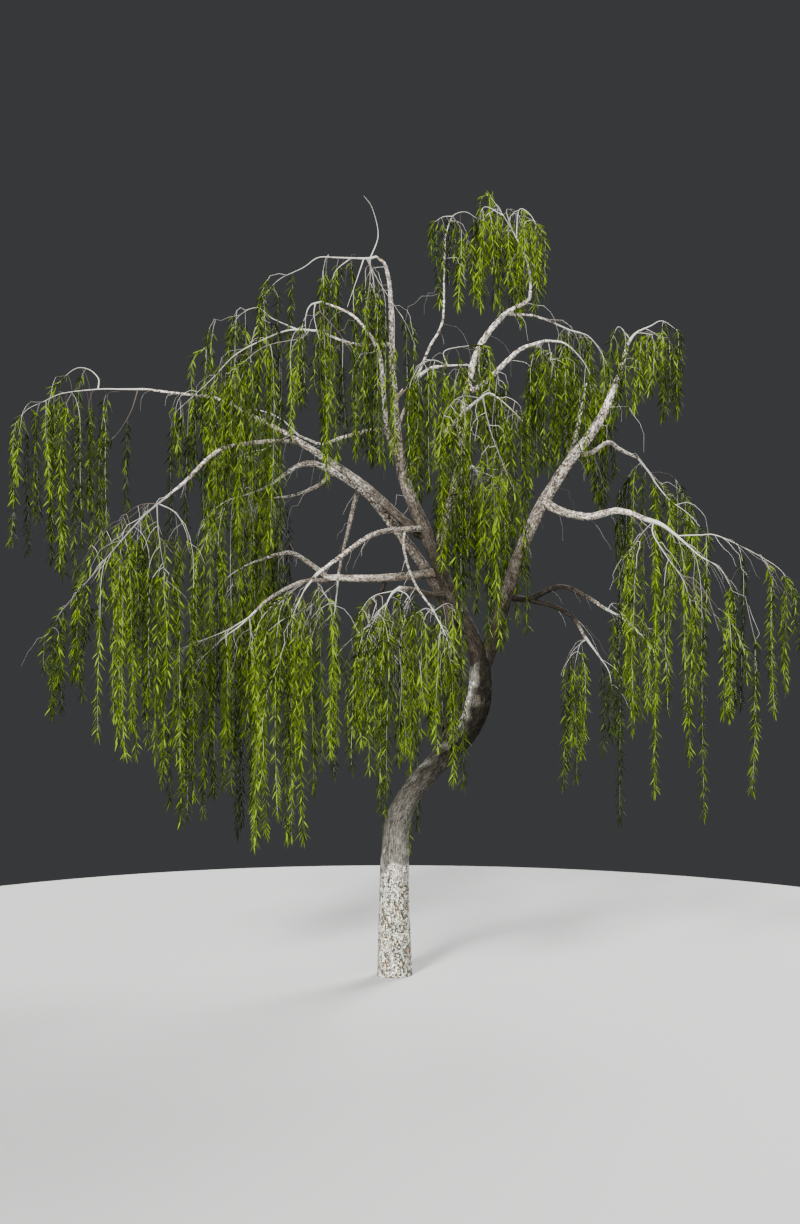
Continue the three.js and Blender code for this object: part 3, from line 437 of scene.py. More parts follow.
        "path": [[720, 5860, 240], [760, 5960, 700], [850, 6080, 1300], [930, 6100, 1900]],
        "foliage": {
            "name": "foliage_back", "seed": 37, "strands": 8, "hem": [3900, 5000], "spread": 270,
            "stem": [[980, 6060, 2350], [1010, 5920, 2900], [1010, 5600, 3400]],
            "arms": [
                {"at": 0.05, "path": [[1180, 6060, 2150], [1340, 5880, 2400]]},
                {"at": 0.1, "path": [[780, 6060, 2300], [640, 5900, 2550]]},
                {"at": 0.3, "path": [[1200, 5960, 2850], [1320, 5700, 3150]]},
            ],
        },
    },
    "bough_back_right": {
        "thick": [34, 31, 26, 18],
        "path": [[2090, 6120, 10], [2180, 6460, 450], [2250, 6800, 950], [2290, 7040, 1500]],
        "foliage": {
            "name": "foliage_back_right", "seed": 38, "strands": 6, "hem": [5200, 6400], "spread": 230,
            "stem": [[2320, 7100, 1900], [2360, 7040, 2300], [2420, 6840, 2650]],
            "arms": [
                {"at": 0.1, "path": [[2120, 7080, 1950], [1960, 6940, 2200]]},
                {"at": 0.15, "path": [[2460, 7060, 2000], [2600, 6880, 2150]]},
            ],
        },
    },
}

def placed(point):
    right, up, back = point
    scale = (eyeSettings["away"] + back) / eyeSettings["away"]
    x = eyeSettings["right"] + (right - eyeSettings["right"]) * scale
    z = eyeSettings["up"] + (up - eyeSettings["up"]) * scale
    return np.array([x, back, z]) * mm


def smoothRow(controls, perSpan):  # a smooth curve through the controls
    p = np.array(controls, float)
    p = np.vstack([2 * p[0] - p[1], p, 2 * p[-1] - p[-2]])
    t = np.linspace(0, 1, perSpan, endpoint=False)[:, None]
    spans = []
    for i in range(1, len(p) - 2):
        a, b = (p[i + 1] - p[i - 1]) / 2, (p[i + 2] - p[i]) / 2
        rise = p[i + 1] - p[i]
        spans.append(p[i] + a * t + (3 * rise - 2 * a - b) * t**2 + (a + b - 2 * rise) * t**3)
    return np.vstack(spans + [p[-2:-1]])


def rowRuns(row):
    return np.concatenate([[0], np.cumsum(np.linalg.norm(np.diff(row, axis=0), axis=1))])


def rowAt(at, runs, row):
    return np.stack([np.interp(at, runs, row[:, axis]) for axis in range(3)], 1)


def onRow(row, runs, share):  # the place and the way along it at a share of its length
    run = min(max(share, 0), strandSettings["end"]) * runs[-1]
    i = min(max(int(np.searchsorted(runs, run)), 1), len(row) - 1)
    way = (row[i] - row[i - 1]) / np.linalg.norm(row[i] - row[i - 1])
    return row[i - 1] + way * (run - runs[i - 1]), way


def unit(ways):
    return ways / np.linalg.norm(ways, axis=1)[:, None]


def rowRings(ways):  # two directions across the row at each place, turned as little as possible
    across = np.zeros_like(ways)
    last = np.array([1.0, 0, 0]) if abs(ways[0][0]) < 0.9 else np.array([0, 1.0, 0])
    for i, way in enumerate(ways):
        last = last - way * last.dot(way)
        last = last / np.linalg.norm(last)
        across[i] = last
    return across, np.cross(ways, across)


def ringAngles(sides):
    return np.arange(sides) / sides * 2 * math.pi


def headingOf(way):
    return math.atan2(way[1], way[0])


def between(pair, share):
    return pair[0] + (pair[1] - pair[0]) * share


def seededDraws(seed):  # one draw after another between 0 and 1, the same ones as in the plain model
    state = (seed * 2654435761) % 2**32
    while True:
        state = (state * 1664525 + 1013904223) % 2**32
        yield state / 2**32


def plainMaterial(name, colour, roughness, gloss=0.5):
    material = bpy.data.materials.new(name)
    material.use_nodes = True
    shader = material.node_tree.nodes["Principled BSDF"]
    shader.inputs["Base Color"].default_value = (*colour, 1)
    shader.inputs["Roughness"].default_value = roughness
    shader.inputs["Specular IOR Level"].default_value = gloss
    return material


def meshPiece(name, points, triangles, materials, picks=None, smooth=False):
    mesh = bpy.data.meshes.new(name)
    points = np.asarray(points, np.float32)
    triangles = np.asarray(triangles, np.int32)
    mesh.vertices.add(len(points))
    mesh.vertices.foreach_set("co", points.ravel())
    mesh.loops.add(triangles.size)
    mesh.loops.foreach_set("vertex_index", triangles.ravel())
    mesh.polygons.add(len(triangles))
    mesh.polygons.foreach_set("loop_start", np.arange(0, triangles.size, 3, dtype=np.int32))
    for material in materials:
        mesh.materials.append(material)
    if picks is not None:
        mesh.polygons.foreach_set("material_index", np.asarray(picks, np.int32))
    mesh.polygons.foreach_set("use_smooth", np.full(len(triangles), smooth))
    mesh.update(calc_edges=True)
    mesh.validate()
    piece = bpy.data.objects.new(name, mesh)
    bpy.context.collection.objects.link(piece)
    return piece


def tubeTriangles(rings, sides):
    i, k = np.meshgrid(np.arange(rings - 1), np.arange(sides), indexing="ij")
    a, b = i * sides + k, i * sides + (k + 1) % sides
    halves = [np.stack([a, b, b + sides], -1), np.stack([a, b + sides, a + sides], -1)]
    return np.concatenate(halves).reshape(-1, 3)


def capTriangles(first, sides, flip):
    k = np.arange(1, sides - 1)
    a, b = (k + 1, k) if flip else (k, k + 1)
    return first + np.stack([np.zeros_like(k), a, b], -1)


# the bark: a relief of plates and cracks on each limb

barkSettings = {
    "perSpan": 24,
    "fewestSteps": 6,
    "sides": (14, 96),  # fewest and most round a limb
    "sideWidth": 13,
    "ringEvery": 17,
    "cell": (36, 95),  # a plate of bark, round the limb and along it, on the trunk
    "fissure": 7,
    "crackShare": 0.28,  # how much of a plate its cracks take up
    "grain": (2.7, 0.35),  # how fine and how deep the relief on a plate is
    "fullAt": 205,  # radius of the trunk's foot, and how much faster than the radius the relief grows
    "fullBy": 1.6,
    "leastCell": 0.35,
    "lump": 0.07,  # share of the radius
    "lumpSize": 0.35,
    "flareShare": 0.05,
    "flareReach": 260,
    "flareLobes": 5,
    "flareLobe": 0.035,
    "collar": 0.3,  # how much a limb swells where it leaves its parent, and over how many radii
    "collarReach": 2.2,
    "rootShares": (1, 0.85, 0.7, 0.55, 0.4),  # widths tried for a root until it stays inside its parent
    "rootInside": 0.97,
    "rootStep": 20,
    "tuckReach": 1.8,  # over how many radii a narrower root grows to its full width
    "forkShadeAt": (1000, 0, 3900),  # painted shade: the crown's shadow is painted on the bark, darkest round the fork, and the bark is bright beyond these distances
    "forkShadeReach": (1100, 3100),
    "palest": 1.1,
    "paintedLitSide": (1950, 2400, 3500, 3900),  # painted light: heights between which the left side of the trunk, facing the light, is painted paler, with a painted highlight at the bend
    "litSidePaleness": 0.88,
    "litSideLean": (0.05, 0.75),
    "leanStray": 0.5,
    "strayFine": 9,  # how fine and how strong the unevenness of the painted shade and tone is, which also frays the painted shadow's edge
    "strayPale": 0.14,
    "paleTip": (0.65, 0.95),  # from this share of a bough on its painted shade lifts and it grows paler, and how pale its tip is
}

# limbs whose painted shade near the fork is lighter (above 0) and deeper (below 0) than the others', partly
# for their own paler and darker bark
limbShadeAndTone = {
    "bough_left_stem": 0.35,
    "bough_low_arch": 0.5,
    "bough_arch": -0.1,
    "bough_front_left": 0.4,
    "bough_front_drop": 0.5,
    "bough_front_low": 0.35,
    "bough_low_left": 0.4,
    "bough_right_leader": 0.35,
    "bough_crown": 0.3,
    "bough_right": 0.4,
    "bough_left": -0.5,
}


def limbRow(limb):
    row = smoothRow([placed(point) for point in limb["path"]], barkSettings["perSpan"])
    thick = np.array(limb["thick"]) * mm
    radii = np.interp(np.linspace(0, 1, len(row)), np.linspace(0, 1, len(thick)), thick)
    return row, radii


def evenRow(row, radii, step):  # the row and its radii in even steps, and how far along each place is
    runs = rowRuns(row)
    count = max(int(runs[-1] / step), barkSettings["fewestSteps"])
    at = np.linspace(0, runs[-1], count + 1)
    return rowAt(at, runs, row), np.interp(at, runs, radii), at


def barkRelief(place, cellRound, cellAlong, fissure):
    # plates parted by cracks: the place is wrapped round the limb, so the pattern has no seam
    fineness, depth = barkSettings["grain"]
    spot = Vector((place[0] / cellRound, place[1] / cellRound, place[2] / cellAlong))
    near = noise.voronoi(spot)[0]
    crack = min((near[1] - near[0]) / barkSettings["crackShare"], 1)
    fine = noise.noise(spot * fineness)
    return fissure * (crack - 1) + fissure * depth * fine


def rootShare(name, ring, centre):  # how much of its width a root keeps
    step = barkSettings["rootStep"] * mm
    others = [evenRow(*limbRow(limb), step)[:2] for other, limb in limbs.items() if other != name]
    for share in barkSettings["rootShares"]:
        places = centre + (ring - centre) * share
        for spots, radii in others:
            away = np.linalg.norm(places[:, None] - spots[None], axis=2)
            gaps = away - barkSettings["rootInside"] * radii[None]
            if gaps.min(1).max() < 0:
                return share
    return 1


def paintedLightOf(name, limb, centre, share):  # the painted shade and tone of the bark there, and the painted light on the trunk's left side
    nearFork, farFork = (reach * mm for reach in barkSettings["forkShadeReach"])
    # painted shade: the bark is painted darker towards the fork, where the crown's shadow falls
    outOfForkShade = (math.dist(centre, np.array(barkSettings["forkShadeAt"]) * mm) - nearFork) / (farFork - nearFork)
    pale = min(max(outOfForkShade + limbShadeAndTone.get(name, 0), 0), barkSettings["palest"])
    if "foliage" in limb:
        paleFrom, tipPale = barkSettings["paleTip"]
        pale = max(pale, np.interp(share, (paleFrom, 1), (0, tipPale)))
    # painted light: how pale the trunk's lit left side is painted at this height
    beside = barkSettings["litSidePaleness"] * np.interp(centre[2] / mm, barkSettings["paintedLitSide"], (0, 1, 1, 0))
    return pale, beside * (name == "trunk")


def flare(height, angle):  # how much wider the trunk's foot is
    fade = math.exp(-height / (barkSettings["flareReach"] * mm))
    lobes = barkSettings["flareLobe"] * math.cos(barkSettings["flareLobes"] * angle)
    return 1 + fade * (barkSettings["flareShare"] + lobes)


def barkLimb(name, limb, materials):
    row, radii = limbRow(limb)
    thickest = radii.max()
    isTrunk = name == "trunk"
    sides = int(np.clip(2 * math.pi * thickest / (barkSettings["sideWidth"] * mm), *barkSettings["sides"]))
    step = max(barkSettings["ringEvery"] * mm, 2 * math.pi * thickest / sides)
    row, radii, at = evenRow(row, radii, step)
    ways = unit(np.gradient(row, axis=0))
    if isTrunk:
        ways[0] = (0, 0, 1)
    across, along = rowRings(ways)
    finer = min(thickest / (barkSettings["fullAt"] * mm) * barkSettings["fullBy"], 1)
    cellShare = max(finer, barkSettings["leastCell"])
    cellRound, cellAlong = (size * mm * cellShare for size in barkSettings["cell"])
    fissure = barkSettings["fissure"] * mm * finer
    angles = ringAngles(sides)
    ring = np.outer(np.cos(angles), across[0]) + np.outer(np.sin(angles), along[0])
    tucked = rootShare(name, row[0] + ring * radii[0] * (1 + barkSettings["collar"]), row[0])
    tuckEnd = barkSettings["tuckReach"] * radii[0]
    collarEnd = barkSettings["collarReach"] * radii[0]
    points, places, paintedLightAndTone = [], [], []
    for i, centre in enumerate(row):
        pale, beside = paintedLightOf(name, limb, centre, at[i] / at[-1])
        swell = 1 if isTrunk else 1 + barkSettings["collar"] * math.exp(-at[i] / collarEnd)
        swell *= np.interp(at[i], (0, tuckEnd), (tucked, 1))
        lumpFine, lumpFrom = barkSettings["lumpSize"] / radii[i], Vector((len(name), 0, 0))
        for angle in angles:
            place = (math.cos(angle) * radii[i], math.sin(angle) * radii[i], at[i])
            radius = radii[i] * swell
            if isTrunk:
                radius *= flare(centre[2], angle)
            radius *= 1 + barkSettings["lump"] * noise.noise(Vector(place) * lumpFine + lumpFrom)
            radius += barkRelief(place, cellRound, cellAlong, fissure)
            outward = across[i] * math.cos(angle) + along[i] * math.sin(angle)
            points.append(centre + outward * radius)
            places.append(place)
            # painted shade and light with an uneven edge, and the painted lit side where the bark faces left
            stray = noise.noise(Vector(place) * barkSettings["strayFine"])
            lean = -outward[0] + barkSettings["leanStray"] * stray
            side = beside * np.interp(lean, barkSettings["litSideLean"], (0, 1))
            paintedLightAndTone.append(max(pale + barkSettings["strayPale"] * stray, side))
    if isTrunk:
        for k in range(sides):
            points[k][2] = 0
    rings = len(row)
    triangles = np.vstack([
        tubeTriangles(rings, sides),
        capTriangles(0, sides, True),
        capTriangles((rings - 1) * sides, sides, False),
    ])
    piece = meshPiece(f"bark_{name}", points, triangles, materials, smooth=True)
    attribute = piece.data.attributes.new("barkPlace", "FLOAT_VECTOR", "POINT")
    attribute.data.foreach_set("vector", np.asarray(places, np.float32).ravel())
    # the painted shade and light of the bark, with its uneven tone, for its material
    attribute = piece.data.attributes.new("barkPaintedLightAndTone", "FLOAT", "POINT")
    attribute.data.foreach_set("value", np.asarray(paintedLightAndTone, np.float32))
    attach(piece, "root")
    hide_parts(name)
    return len(triangles)


# the colours of the bark, painted by patterns of noise: how large each is round the limb and along it, in
# metres, how much detail it has, and between which two values it turns from its first colour to its second
# (a number stands for a grey)
barkPatterns = {
    "stains": {"size": (0.16, 0.3), "detail": 3, "rough": 0.6, "turns": (0.4, 0.58)},
    "broken": {"size": (0.07, 0.12), "detail": 2, "rough": 0.6, "turns": (0.44, 0.56), "colours": (0.15, 1)},
    "flecks": {"size": (0.028, 0.17), "detail": 3, "rough": 0.6, "turns": (0.58, 0.64), "colours": (0, 1)},
    "grain": {"size": (0.006, 0.03), "detail": 5, "rough": 0.75, "turns": (0.4, 0.58),
              "colours": ((0.42, 0.4, 0.36), 1)},
    "fissures": {"size": (0.02, 0.2), "detail": 4, "rough": 0.7, "turns": (0.42, 0.6),
                 "colours": ((0.16, 0.15, 0.13), (1, 0.97, 0.92))},
}
darkening = {"stains": 0.6, "grain": 0.25}  # how strongly these two darken the plates
plateNoise = {"detail": 4, "rough": 0.7}
crackSettings = {
    "cell": (0.034, 0.06),
    "bendSize": (0.03, 0.05),
    "bendNoise": {"detail": 3, "rough": 0.5},
    "bend": 1.3,
    "dark": 0.75,  # how much of a crack's colour shows at the width that each look gives
}
barkFinish = {"roughness": 0.88, "gloss": 0.06}

# The plates turn from colour to colour with the value of their noise. calm and paintedShades go by the
# painted shade, light and tone, from the painted shade round the fork to pale, lit bark: how much the long
# fissures hide the plates, and which painted shade colour dims it all.
barkLooks = {
    "trunk": {
        "fineness": 1.8,
        "plateSize": (0.025, 0.042),
        "plates": [(0.45, (0.03, 0.028, 0.022)), (0.5, (0.3, 0.3, 0.26)), (0.56, (0.97, 1.0, 0.9))],
        "stain": (0.66, 0.62, 0.52),
        "calm": [(0, 0.4), (0.84, 0.6), (0.89, 0)],
        "paintedShades": [(0, (0.02, 0.018, 0.014)), (0.35, (0.11, 0.105, 0.094)), (0.82, (0.25, 0.245, 0.226)),
                   (0.89, 1)],
        "crack": (0.02, 0.018, 0.014),
        "ochre": (0.5, 0.26, 0.09),
        "crackWide": 0.18,
    },
    "bough": {
        "fineness": 1.5,
        "plateSize": (0.032, 0.046),
        "plates": [(0.41, (0.07, 0.06, 0.048)), (0.48, (0.38, 0.35, 0.31)), (0.56, (0.95, 0.93, 0.87))],
        "stain": (0.68, 0.55, 0.48),
        "calm": [(0, 0.5), (0.5, 0.2), (0.9, 0)],
        "paintedShades": [(0, (0.03, 0.026, 0.021)), (0.4, (0.14, 0.126, 0.108)), (0.8, (0.62, 0.6, 0.56)), (1, 1)],
        "crack": (0.04, 0.034, 0.026),
        "ochre": (0.27, 0.18, 0.09),
        "crackWide": 0.1,
    },
}


def barkMaterial(name, look):
    material = plainMaterial(name, (0.8, 0.8, 0.8), **barkFinish)
    nodes, links = material.node_tree.nodes, material.node_tree.links

    def feed(socket, value):  # by a link, or with a value of its own
        if isinstance(value, bpy.types.NodeSocket):
            links.new(value, socket)
        elif socket.type == "RGBA":
            socket.default_value = (*value, 1)
        else:
            socket.default_value = value

    def attribute(kind, output):
        node = nodes.new("ShaderNodeAttribute")
        node.attribute_name = kind
        return node.outputs[output]

    def vectorMath(kind, first, second):
        node = nodes.new("ShaderNodeVectorMath")
        node.operation = kind
        feed(node.inputs[0], first)
        feed(node.inputs[1], second)
        return node.outputs[0]

    def noiseOf(vector, detail, rough, output=0):
        node = nodes.new("ShaderNodeTexNoise")
        for key, value in (("Scale", 1), ("Detail", detail), ("Roughness", rough), ("Vector", vector)):
            feed(node.inputs[key], value)
        return node.outputs[output]

    def ramp(source, stops):
        node = nodes.new("ShaderNodeValToRGB")
        while len(node.color_ramp.elements) < len(stops):
            node.color_ramp.elements.new(0.5)
        for element, (where, colour) in zip(node.color_ramp.elements, stops):
            element.position = where
            element.color = (*(colour if isinstance(colour, tuple) else (colour,) * 3), 1)
        links.new(source, node.inputs[0])
        return node.outputs[0]

    def mixed(share, first, second, kind="MIX"):
        node = nodes.new("ShaderNodeMix")
        node.data_type = "RGBA"
        node.blend_type = kind
        for place, value in ((0, share), (6, first), (7, second)):
            feed(node.inputs[place], value)
        return node.outputs[2]

    bark = attribute("barkPlace", "Vector")

    def stretched(sizeRound, sizeAlong):
        fine = look["fineness"]
        return vectorMath("MULTIPLY", bark, (fine / sizeRound, fine / sizeRound, fine / sizeAlong))

    def pattern(kind, colours=None):
        form = barkPatterns[kind]
        value = noiseOf(stretched(*form["size"]), form["detail"], form["rough"])
        return ramp(value, list(zip(form["turns"], colours or form["colours"])))

    plates = ramp(noiseOf(stretched(*look["plateSize"]), **plateNoise), look["plates"])
    colour = mixed(darkening["stains"], plates, pattern("stains", (look["stain"], 1)), "MULTIPLY")
    colour = mixed(pattern("flecks"), colour, look["ochre"])
    colour = mixed(darkening["grain"], colour, pattern("grain"), "MULTIPLY")

    bent = noiseOf(stretched(*crackSettings["bendSize"]), **crackSettings["bendNoise"], output=1)
    bent = vectorMath("MULTIPLY", bent, (crackSettings["bend"],) * 3)
    cells = nodes.new("ShaderNodeTexVoronoi")
    cells.feature = "DISTANCE_TO_EDGE"
    cells.inputs["Scale"].default_value = 1
    links.new(vectorMath("ADD", stretched(*crackSettings["cell"]), bent), cells.inputs["Vector"])
    wide = look["crackWide"]
    cracks = ramp(cells.outputs["Distance"], [(0, 1), (wide, crackSettings["dark"]), (wide * 2, 0)])
    cracks = mixed(1, cracks, pattern("broken"), "MULTIPLY")
    colour = mixed(cracks, colour, look["crack"])

    # painted shade and light: the bark is dimmed round the fork and paler on the trunk's lit left side
    paintedLightAndTone = attribute("barkPaintedLightAndTone", "Fac")
    colour = mixed(ramp(paintedLightAndTone, look["calm"]), colour, pattern("fissures"))
    colour = mixed(1, colour, ramp(paintedLightAndTone, look["paintedShades"]), "MULTIPLY")
    links.new(colour, nodes["Principled BSDF"].inputs["Base Color"])
    return material


def makeBark():
    trunkBark = barkMaterial("trunk bark", barkLooks["trunk"])
    boughBark = barkMaterial("bough bark", barkLooks["bough"])
    count = 0
    for name, limb in limbs.items():
        count += barkLimb(name, limb, [trunkBark if name == "trunk" else boughBark])
    print("bark:", len(limbs), "limbs,", count, "triangles")


# the foliage: strands hang from each stem and arm and from the sprigs that arch over between them, and each
# strand bears leaves to its tip

goldenAngle = math.pi * (3 - math.sqrt(5))
anyTurn = 6.3  # radians, a little over a full turn, for a heading that a draw picks
anyPhase = 6

strandSettings = {
    "first": {"stem": 0.1, "arm": 0.2},  # share of a bearer that has no strands
    "end": 0.985,  # the last share of a bearer that can have one
    "arch": 0.3,  # share of a strand that leads outwards before it hangs
    "lift": 0.14,
    "turn": 0.6,  # radians between the bearer and a strand that leaves it, and how much more at most
    "swing": 0.9,
    "least": 0.3,  # least share of its mass's spread that it leads out
    "shortest": 450,
    "tries": 8,  # each new try is turned, leads out less and hangs less
    "nearer": 0.15,
    "nearerTries": 5,
    "shorter": 0.08,
    "root": 2.8,  # radius of the twig at its root and at its tip
    "tip": 1.3,
    "sway": 34,
    "swayTurn": 4.2,
    "fallCurve": 1.2,
    "room": 14,  # least room between a strand and a limb
    "probes": 60,  # how many of its places are held against the limbs, but for the first few
    "rooted": 4,
    "near": 300,
    "limbEvery": 45,  # and how far apart the places of a limb are
    "beyond": 60,  # how far a strand may pass its mass's own corners
}
bearerSettings = {
    "perSpan": 6,
    "leastAt": 0.05,
    "arm": 9,  # largest radius of an arm, and the radius of any bearer at its tip
    "tip": 1.9,
    "taper": 2.1,
    "tintShares": (0.45, 0.35, 0.2),
}
# places on a strand, nearer to each other where it arches
archEnd = strandSettings["arch"]
archShares = np.append(np.linspace(0, archEnd, 5), np.linspace(archEnd, 1, 8)[1:])

# thin twigs that leave the stems and arms on either side, arch over and end in a strand
sprigSettings = {
    "places": 7,
    "every": 300,
    "turn": (0.25, 1.2),
    "kink": 0.12,
    "lowHem": 3500,  # masses that hang lower than this have steep sprigs, the others arching ones
    "root": 3.4,
    "tip": 1.6,
    "first": 0.35,
    "leafyFrom": 3,  # the first of its places with leaves
    "tintShares": (0.3, 0.4, 0.3),
}
sprigHabits = {  # how a sprig leads out and how that bends, and the same upwards
    "arching": {"length": (240, 850), "out": (1.3, 0.65), "up": (0.14, 0.85)},
    "steep": {"length": (450, 1500), "out": (0.8, 0.2), "up": (-0.35, 0.4)},
}

# thinner bare twigs on the outer part of each bough and along the bearers of the low masses
bareSettings = {
    "boughEvery": 230,
    "boughFirst": 0.35,
    "every": 210,
    "length": (180, 800),
    "shortOnes": 1.5,  # over 1 makes most of them short
    "turn": (0.2, 1.0),
    "root": 2.6,
    "tip": 0.8,
    "tintShares": (0.5, 0.35, 0.15),
}

# between the strands of the stems and arms hang finer ones, each where there is most room
fineSettings = {
    "choices": 7,
    "nearest": 130,  # least distance between two that hang beside each other, and the same in a thicket
    "thickest": 90,
    "out": (0.1, 0.9),  # share of the mass's spread that one leads out
    "drop": (0.6, 1.0),
    "usual": 1.4,  # how many for each strand of the stem and arms
    "hem": 0.45,  # the least share of the way up the hem that their tips come down to
    "alone": 1000,  # the room of one that has no other beside it
    "tailOut": 40,
    "leafyEnd": 6,  # how many of the last places of a stem or arm have leaves
    "thicketTries": 250,
}
# how full the masses are, in place of the usual number
fullness = {
    "foliage_left_leader": 2,
    "foliage_left_shoulder": 2.6,
    "foliage_inner_left": 2.6,
    "foliage_inner_right": 3.5,
    "foliage_tall_shoot": 0.4,
    "foliage_crown": 2,
    "foliage_right_leader": 2.2,
    "foliage_middle_right": 2.2,
    "foliage_upper_right": 2.2,
    "foliage_front": 0.5,
    "foliage_right": 0.3,
    "foliage_right_back": 0.9,
    "foliage_low_right": 0.3,
    "foliage_low_right_inner": 0.15,
    "foliage_front_low": 0.4,
    "foliage_front_left": 0.5,
    "foliage_low_middle": 0.4,
    "foliage_low_left_sweep": 0.7,
    "foliage_low_left_curl": 0.8,
    "foliage_hanger": 0.5,
    "foliage_low_arch": 1,
}

# short arms beside those of the plain model
extraArms = {
    "foliage_left_leader": [
        {"at": 0.06, "path": [[-250, 8350, -60], [-230, 8150, -100]], "hem": [5700, 6000]},
        {"at": 0.2, "path": [[-700, 8450, -150], [-760, 8250, -200]], "hem": [5850, 6200]},
    ],
}

# where the sky shows through the crown: left, right, lowest and highest, as points are kept
skyGaps = [
    (-1330, -470, 4980, 5820),
    (1570, 2470, 4620, 6060),
    (-3480, -2820, 5960, 6900),
    (-1330, -900, 6250, 6850),
    (-1100, -900, 6850, 8600),
    (-610, -390, 7750, 8580),
    (90, 330, 7400, 8400),
    (790, 1010, 8050, 8700),
    (-3540, -3330, 2600, 4200),
    (2730, 2920, 2700, 3900),
    (288, 690, 2050, 2760),
]
skySettings = {
    "ragged": 420,  # how unevenly the strands end at the sides of a gap
    "raggedFine": 23,
}

# where the crown is thicker: left, right, the heights that the tips come down to, and how many strands more
thickets = {
    "foliage_left_leader": [(-480, -240, 5900, 6300, 4), (-300, -60, 5900, 6200, 3),
                            (-200, 80, 5900, 6400, 3), (-870, -640, 5950, 6300, 4)],
    "foliage_left_shoulder": [(-1850, -1330, 5100, 5900, 5), (-2600, -2050, 5500, 6200, 5),
                              (-2810, -2570, 6050, 6400, 3), (-2330, -1850, 5150, 5600, 5)],
    "foliage_inner_right": [(30, 330, 5550, 6200, 7), (330, 620, 5550, 6300, 5),
                            (1000, 1500, 6200, 6900, 6), (1030, 1280, 6700, 7100, 4)],
    "foliage_front": [(1270, 1530, 5900, 6500, 5)],
    "foliage_front_low": [(-170, 310, 3600, 4200, 6)],
    "foliage_front_drop": [(500, 780, 2500, 3300, 3), (700, 840, 2160, 2400, 2)],
    "foliage_low_left_sweep": [(-2720, -2520, 1640, 1850, 1)],
    "foliage_tall_shoot": [(550, 790, 8050, 8500, 4)],
    "foliage_crown": [(1000, 1250, 8700, 9000, 4), (1250, 1560, 8500, 8800, 4),
                      (1030, 1700, 8300, 8600, 8), (1270, 1520, 8000, 8400, 3)],
    "foliage_middle_right": [(1480, 1800, 5750, 6700, 6), (1300, 1800, 6500, 7000, 4)],
    "foliage_upper_right": [(1600, 2100, 6300, 7100, 5)],
    "foliage_right_leader": [(2650, 2950, 6700, 7100, 4)],
    "foliage_right": [(3910, 4170, 3000, 3700, 3), (4450, 4700, 3400, 3800, 2)],
    "foliage_right_back": [(2480, 2960, 4600, 5000, 3)],
    "foliage_far_left": [(-4050, -3350, 4750, 5200, 6), (-4470, -4240, 5050, 5600, 2)],
    "foliage_left": [(-4300, -3950, 2950, 3300, 3), (-3550, -2850, 2600, 3300, 5),
                     (-3150, -2500, 3600, 4700, 7), (-3060, -2810, 3060, 3600, 5)],
    "foliage_back": [(300, 700, 4000, 4900, 7)],
}

leafSettings = {
    "every": 11.5,  # leaves stand in turn on either side
    "uneven": 0.3,
    "across": (0.35, 0.5),  # radians more than half a turn from one to the next, and how much it strays
    "length": (80, 132),
    "width": 0.12,  # share of the length
    "angle": (0.42, 0.98),  # radians between the leaf and its twig
    "fan": (0.05, 0.5),  # and between the last leaves of a strand and its twig
    "fanned": 3,
    "droop": 0.16,
    "fold": 0.3,
    "roll": 0.9,
    "bareTop": (0.03, 0.38),  # share of a strand with no leaves
    "bareRare": 3,  # over 1 makes most of these shares small
}

# how far along a leaf each of its stations lies, and its half width there
leafStations = [(0.3, 0.5), (0.66, 0.4)]

leafTints = {
    "leaf lime": (0.115, 0.175, 0.005),
    "leaf yellow green": (0.047, 0.075, 0.002),
    "leaf green": (0.022, 0.037, 0.002),
    "leaf olive": (0.01, 0.018, 0.001),
    "leaf deep olive": (0.006, 0.01, 0.001),
}
tintShares = (0.08, 0.34, 0.4, 0.15, 0.03)
tintStray = {"brighter": (0.3, 0.1), "darker": (0.4, 0.12)}  # shares of leaves that are one and two steps off
leafSteps = {"foliage_crown": 1}  # how many steps brighter a mass's leaves are
leafFinish = {"roughness": 0.6, "gloss": 0.04}

twigTints = {
    "pale twig": (0.4, 0.385, 0.34),
    "grey twig": (0.17, 0.16, 0.14),
    "brown twig": (0.075, 0.06, 0.046),
}
strandTwigShares = (0.3, 0.4, 0.3)
stemTints = {"foliage_left": 1}  # stems that are greyer than the others
twigFinish = {"roughness": 0.8, "gloss": 0.1}
twigSides = {"stem": 8, "arm": 6, "sprig": 4, "strand": 3}


def bearer(row, fromRadius, toRadius, first, hem):
    runs = rowRuns(row)
    radii = toRadius + (fromRadius - toRadius) * (1 - runs / runs[-1]) ** bearerSettings["taper"]
    return {"row": row, "runs": runs, "length": runs[-1], "radii": radii, "first": first, "hem": hem}


def bearersOf(limb):  # the stem of a mass and its arms, those that bear no strands, and the extra ones
    foliage = limb["foliage"]
    row, radii = limbRow(limb)
    tip = bearerSettings["tip"] * mm
    stem = smoothRow([row[-1]] + [placed(point) for point in foliage["stem"]], bearerSettings["perSpan"])
    first = foliage.get("from", strandSettings["first"]["stem"])
    bearers = [bearer(stem, radii[-1], tip, first, foliage["hem"])]
    bare, extra = [], []
    for arms, own in ((foliage["arms"], bearers), (extraArms.get(foliage["name"], []), extra)):
        for arm in arms:
            root = onRow(stem, bearers[0]["runs"], max(arm["at"], bearerSettings["leastAt"]))[0]
            armRow = smoothRow([root] + [placed(point) for point in arm["path"]], bearerSettings["perSpan"])
            one = bearer(armRow, min(radii[-1], bearerSettings["arm"] * mm), tip,
                         strandSettings["first"]["arm"], arm.get("hem", foliage["hem"]))
            one["bare"] = arm.get("bare", False)
            (bare if one["bare"] else own).append(one)
    return bearers, bare, extra


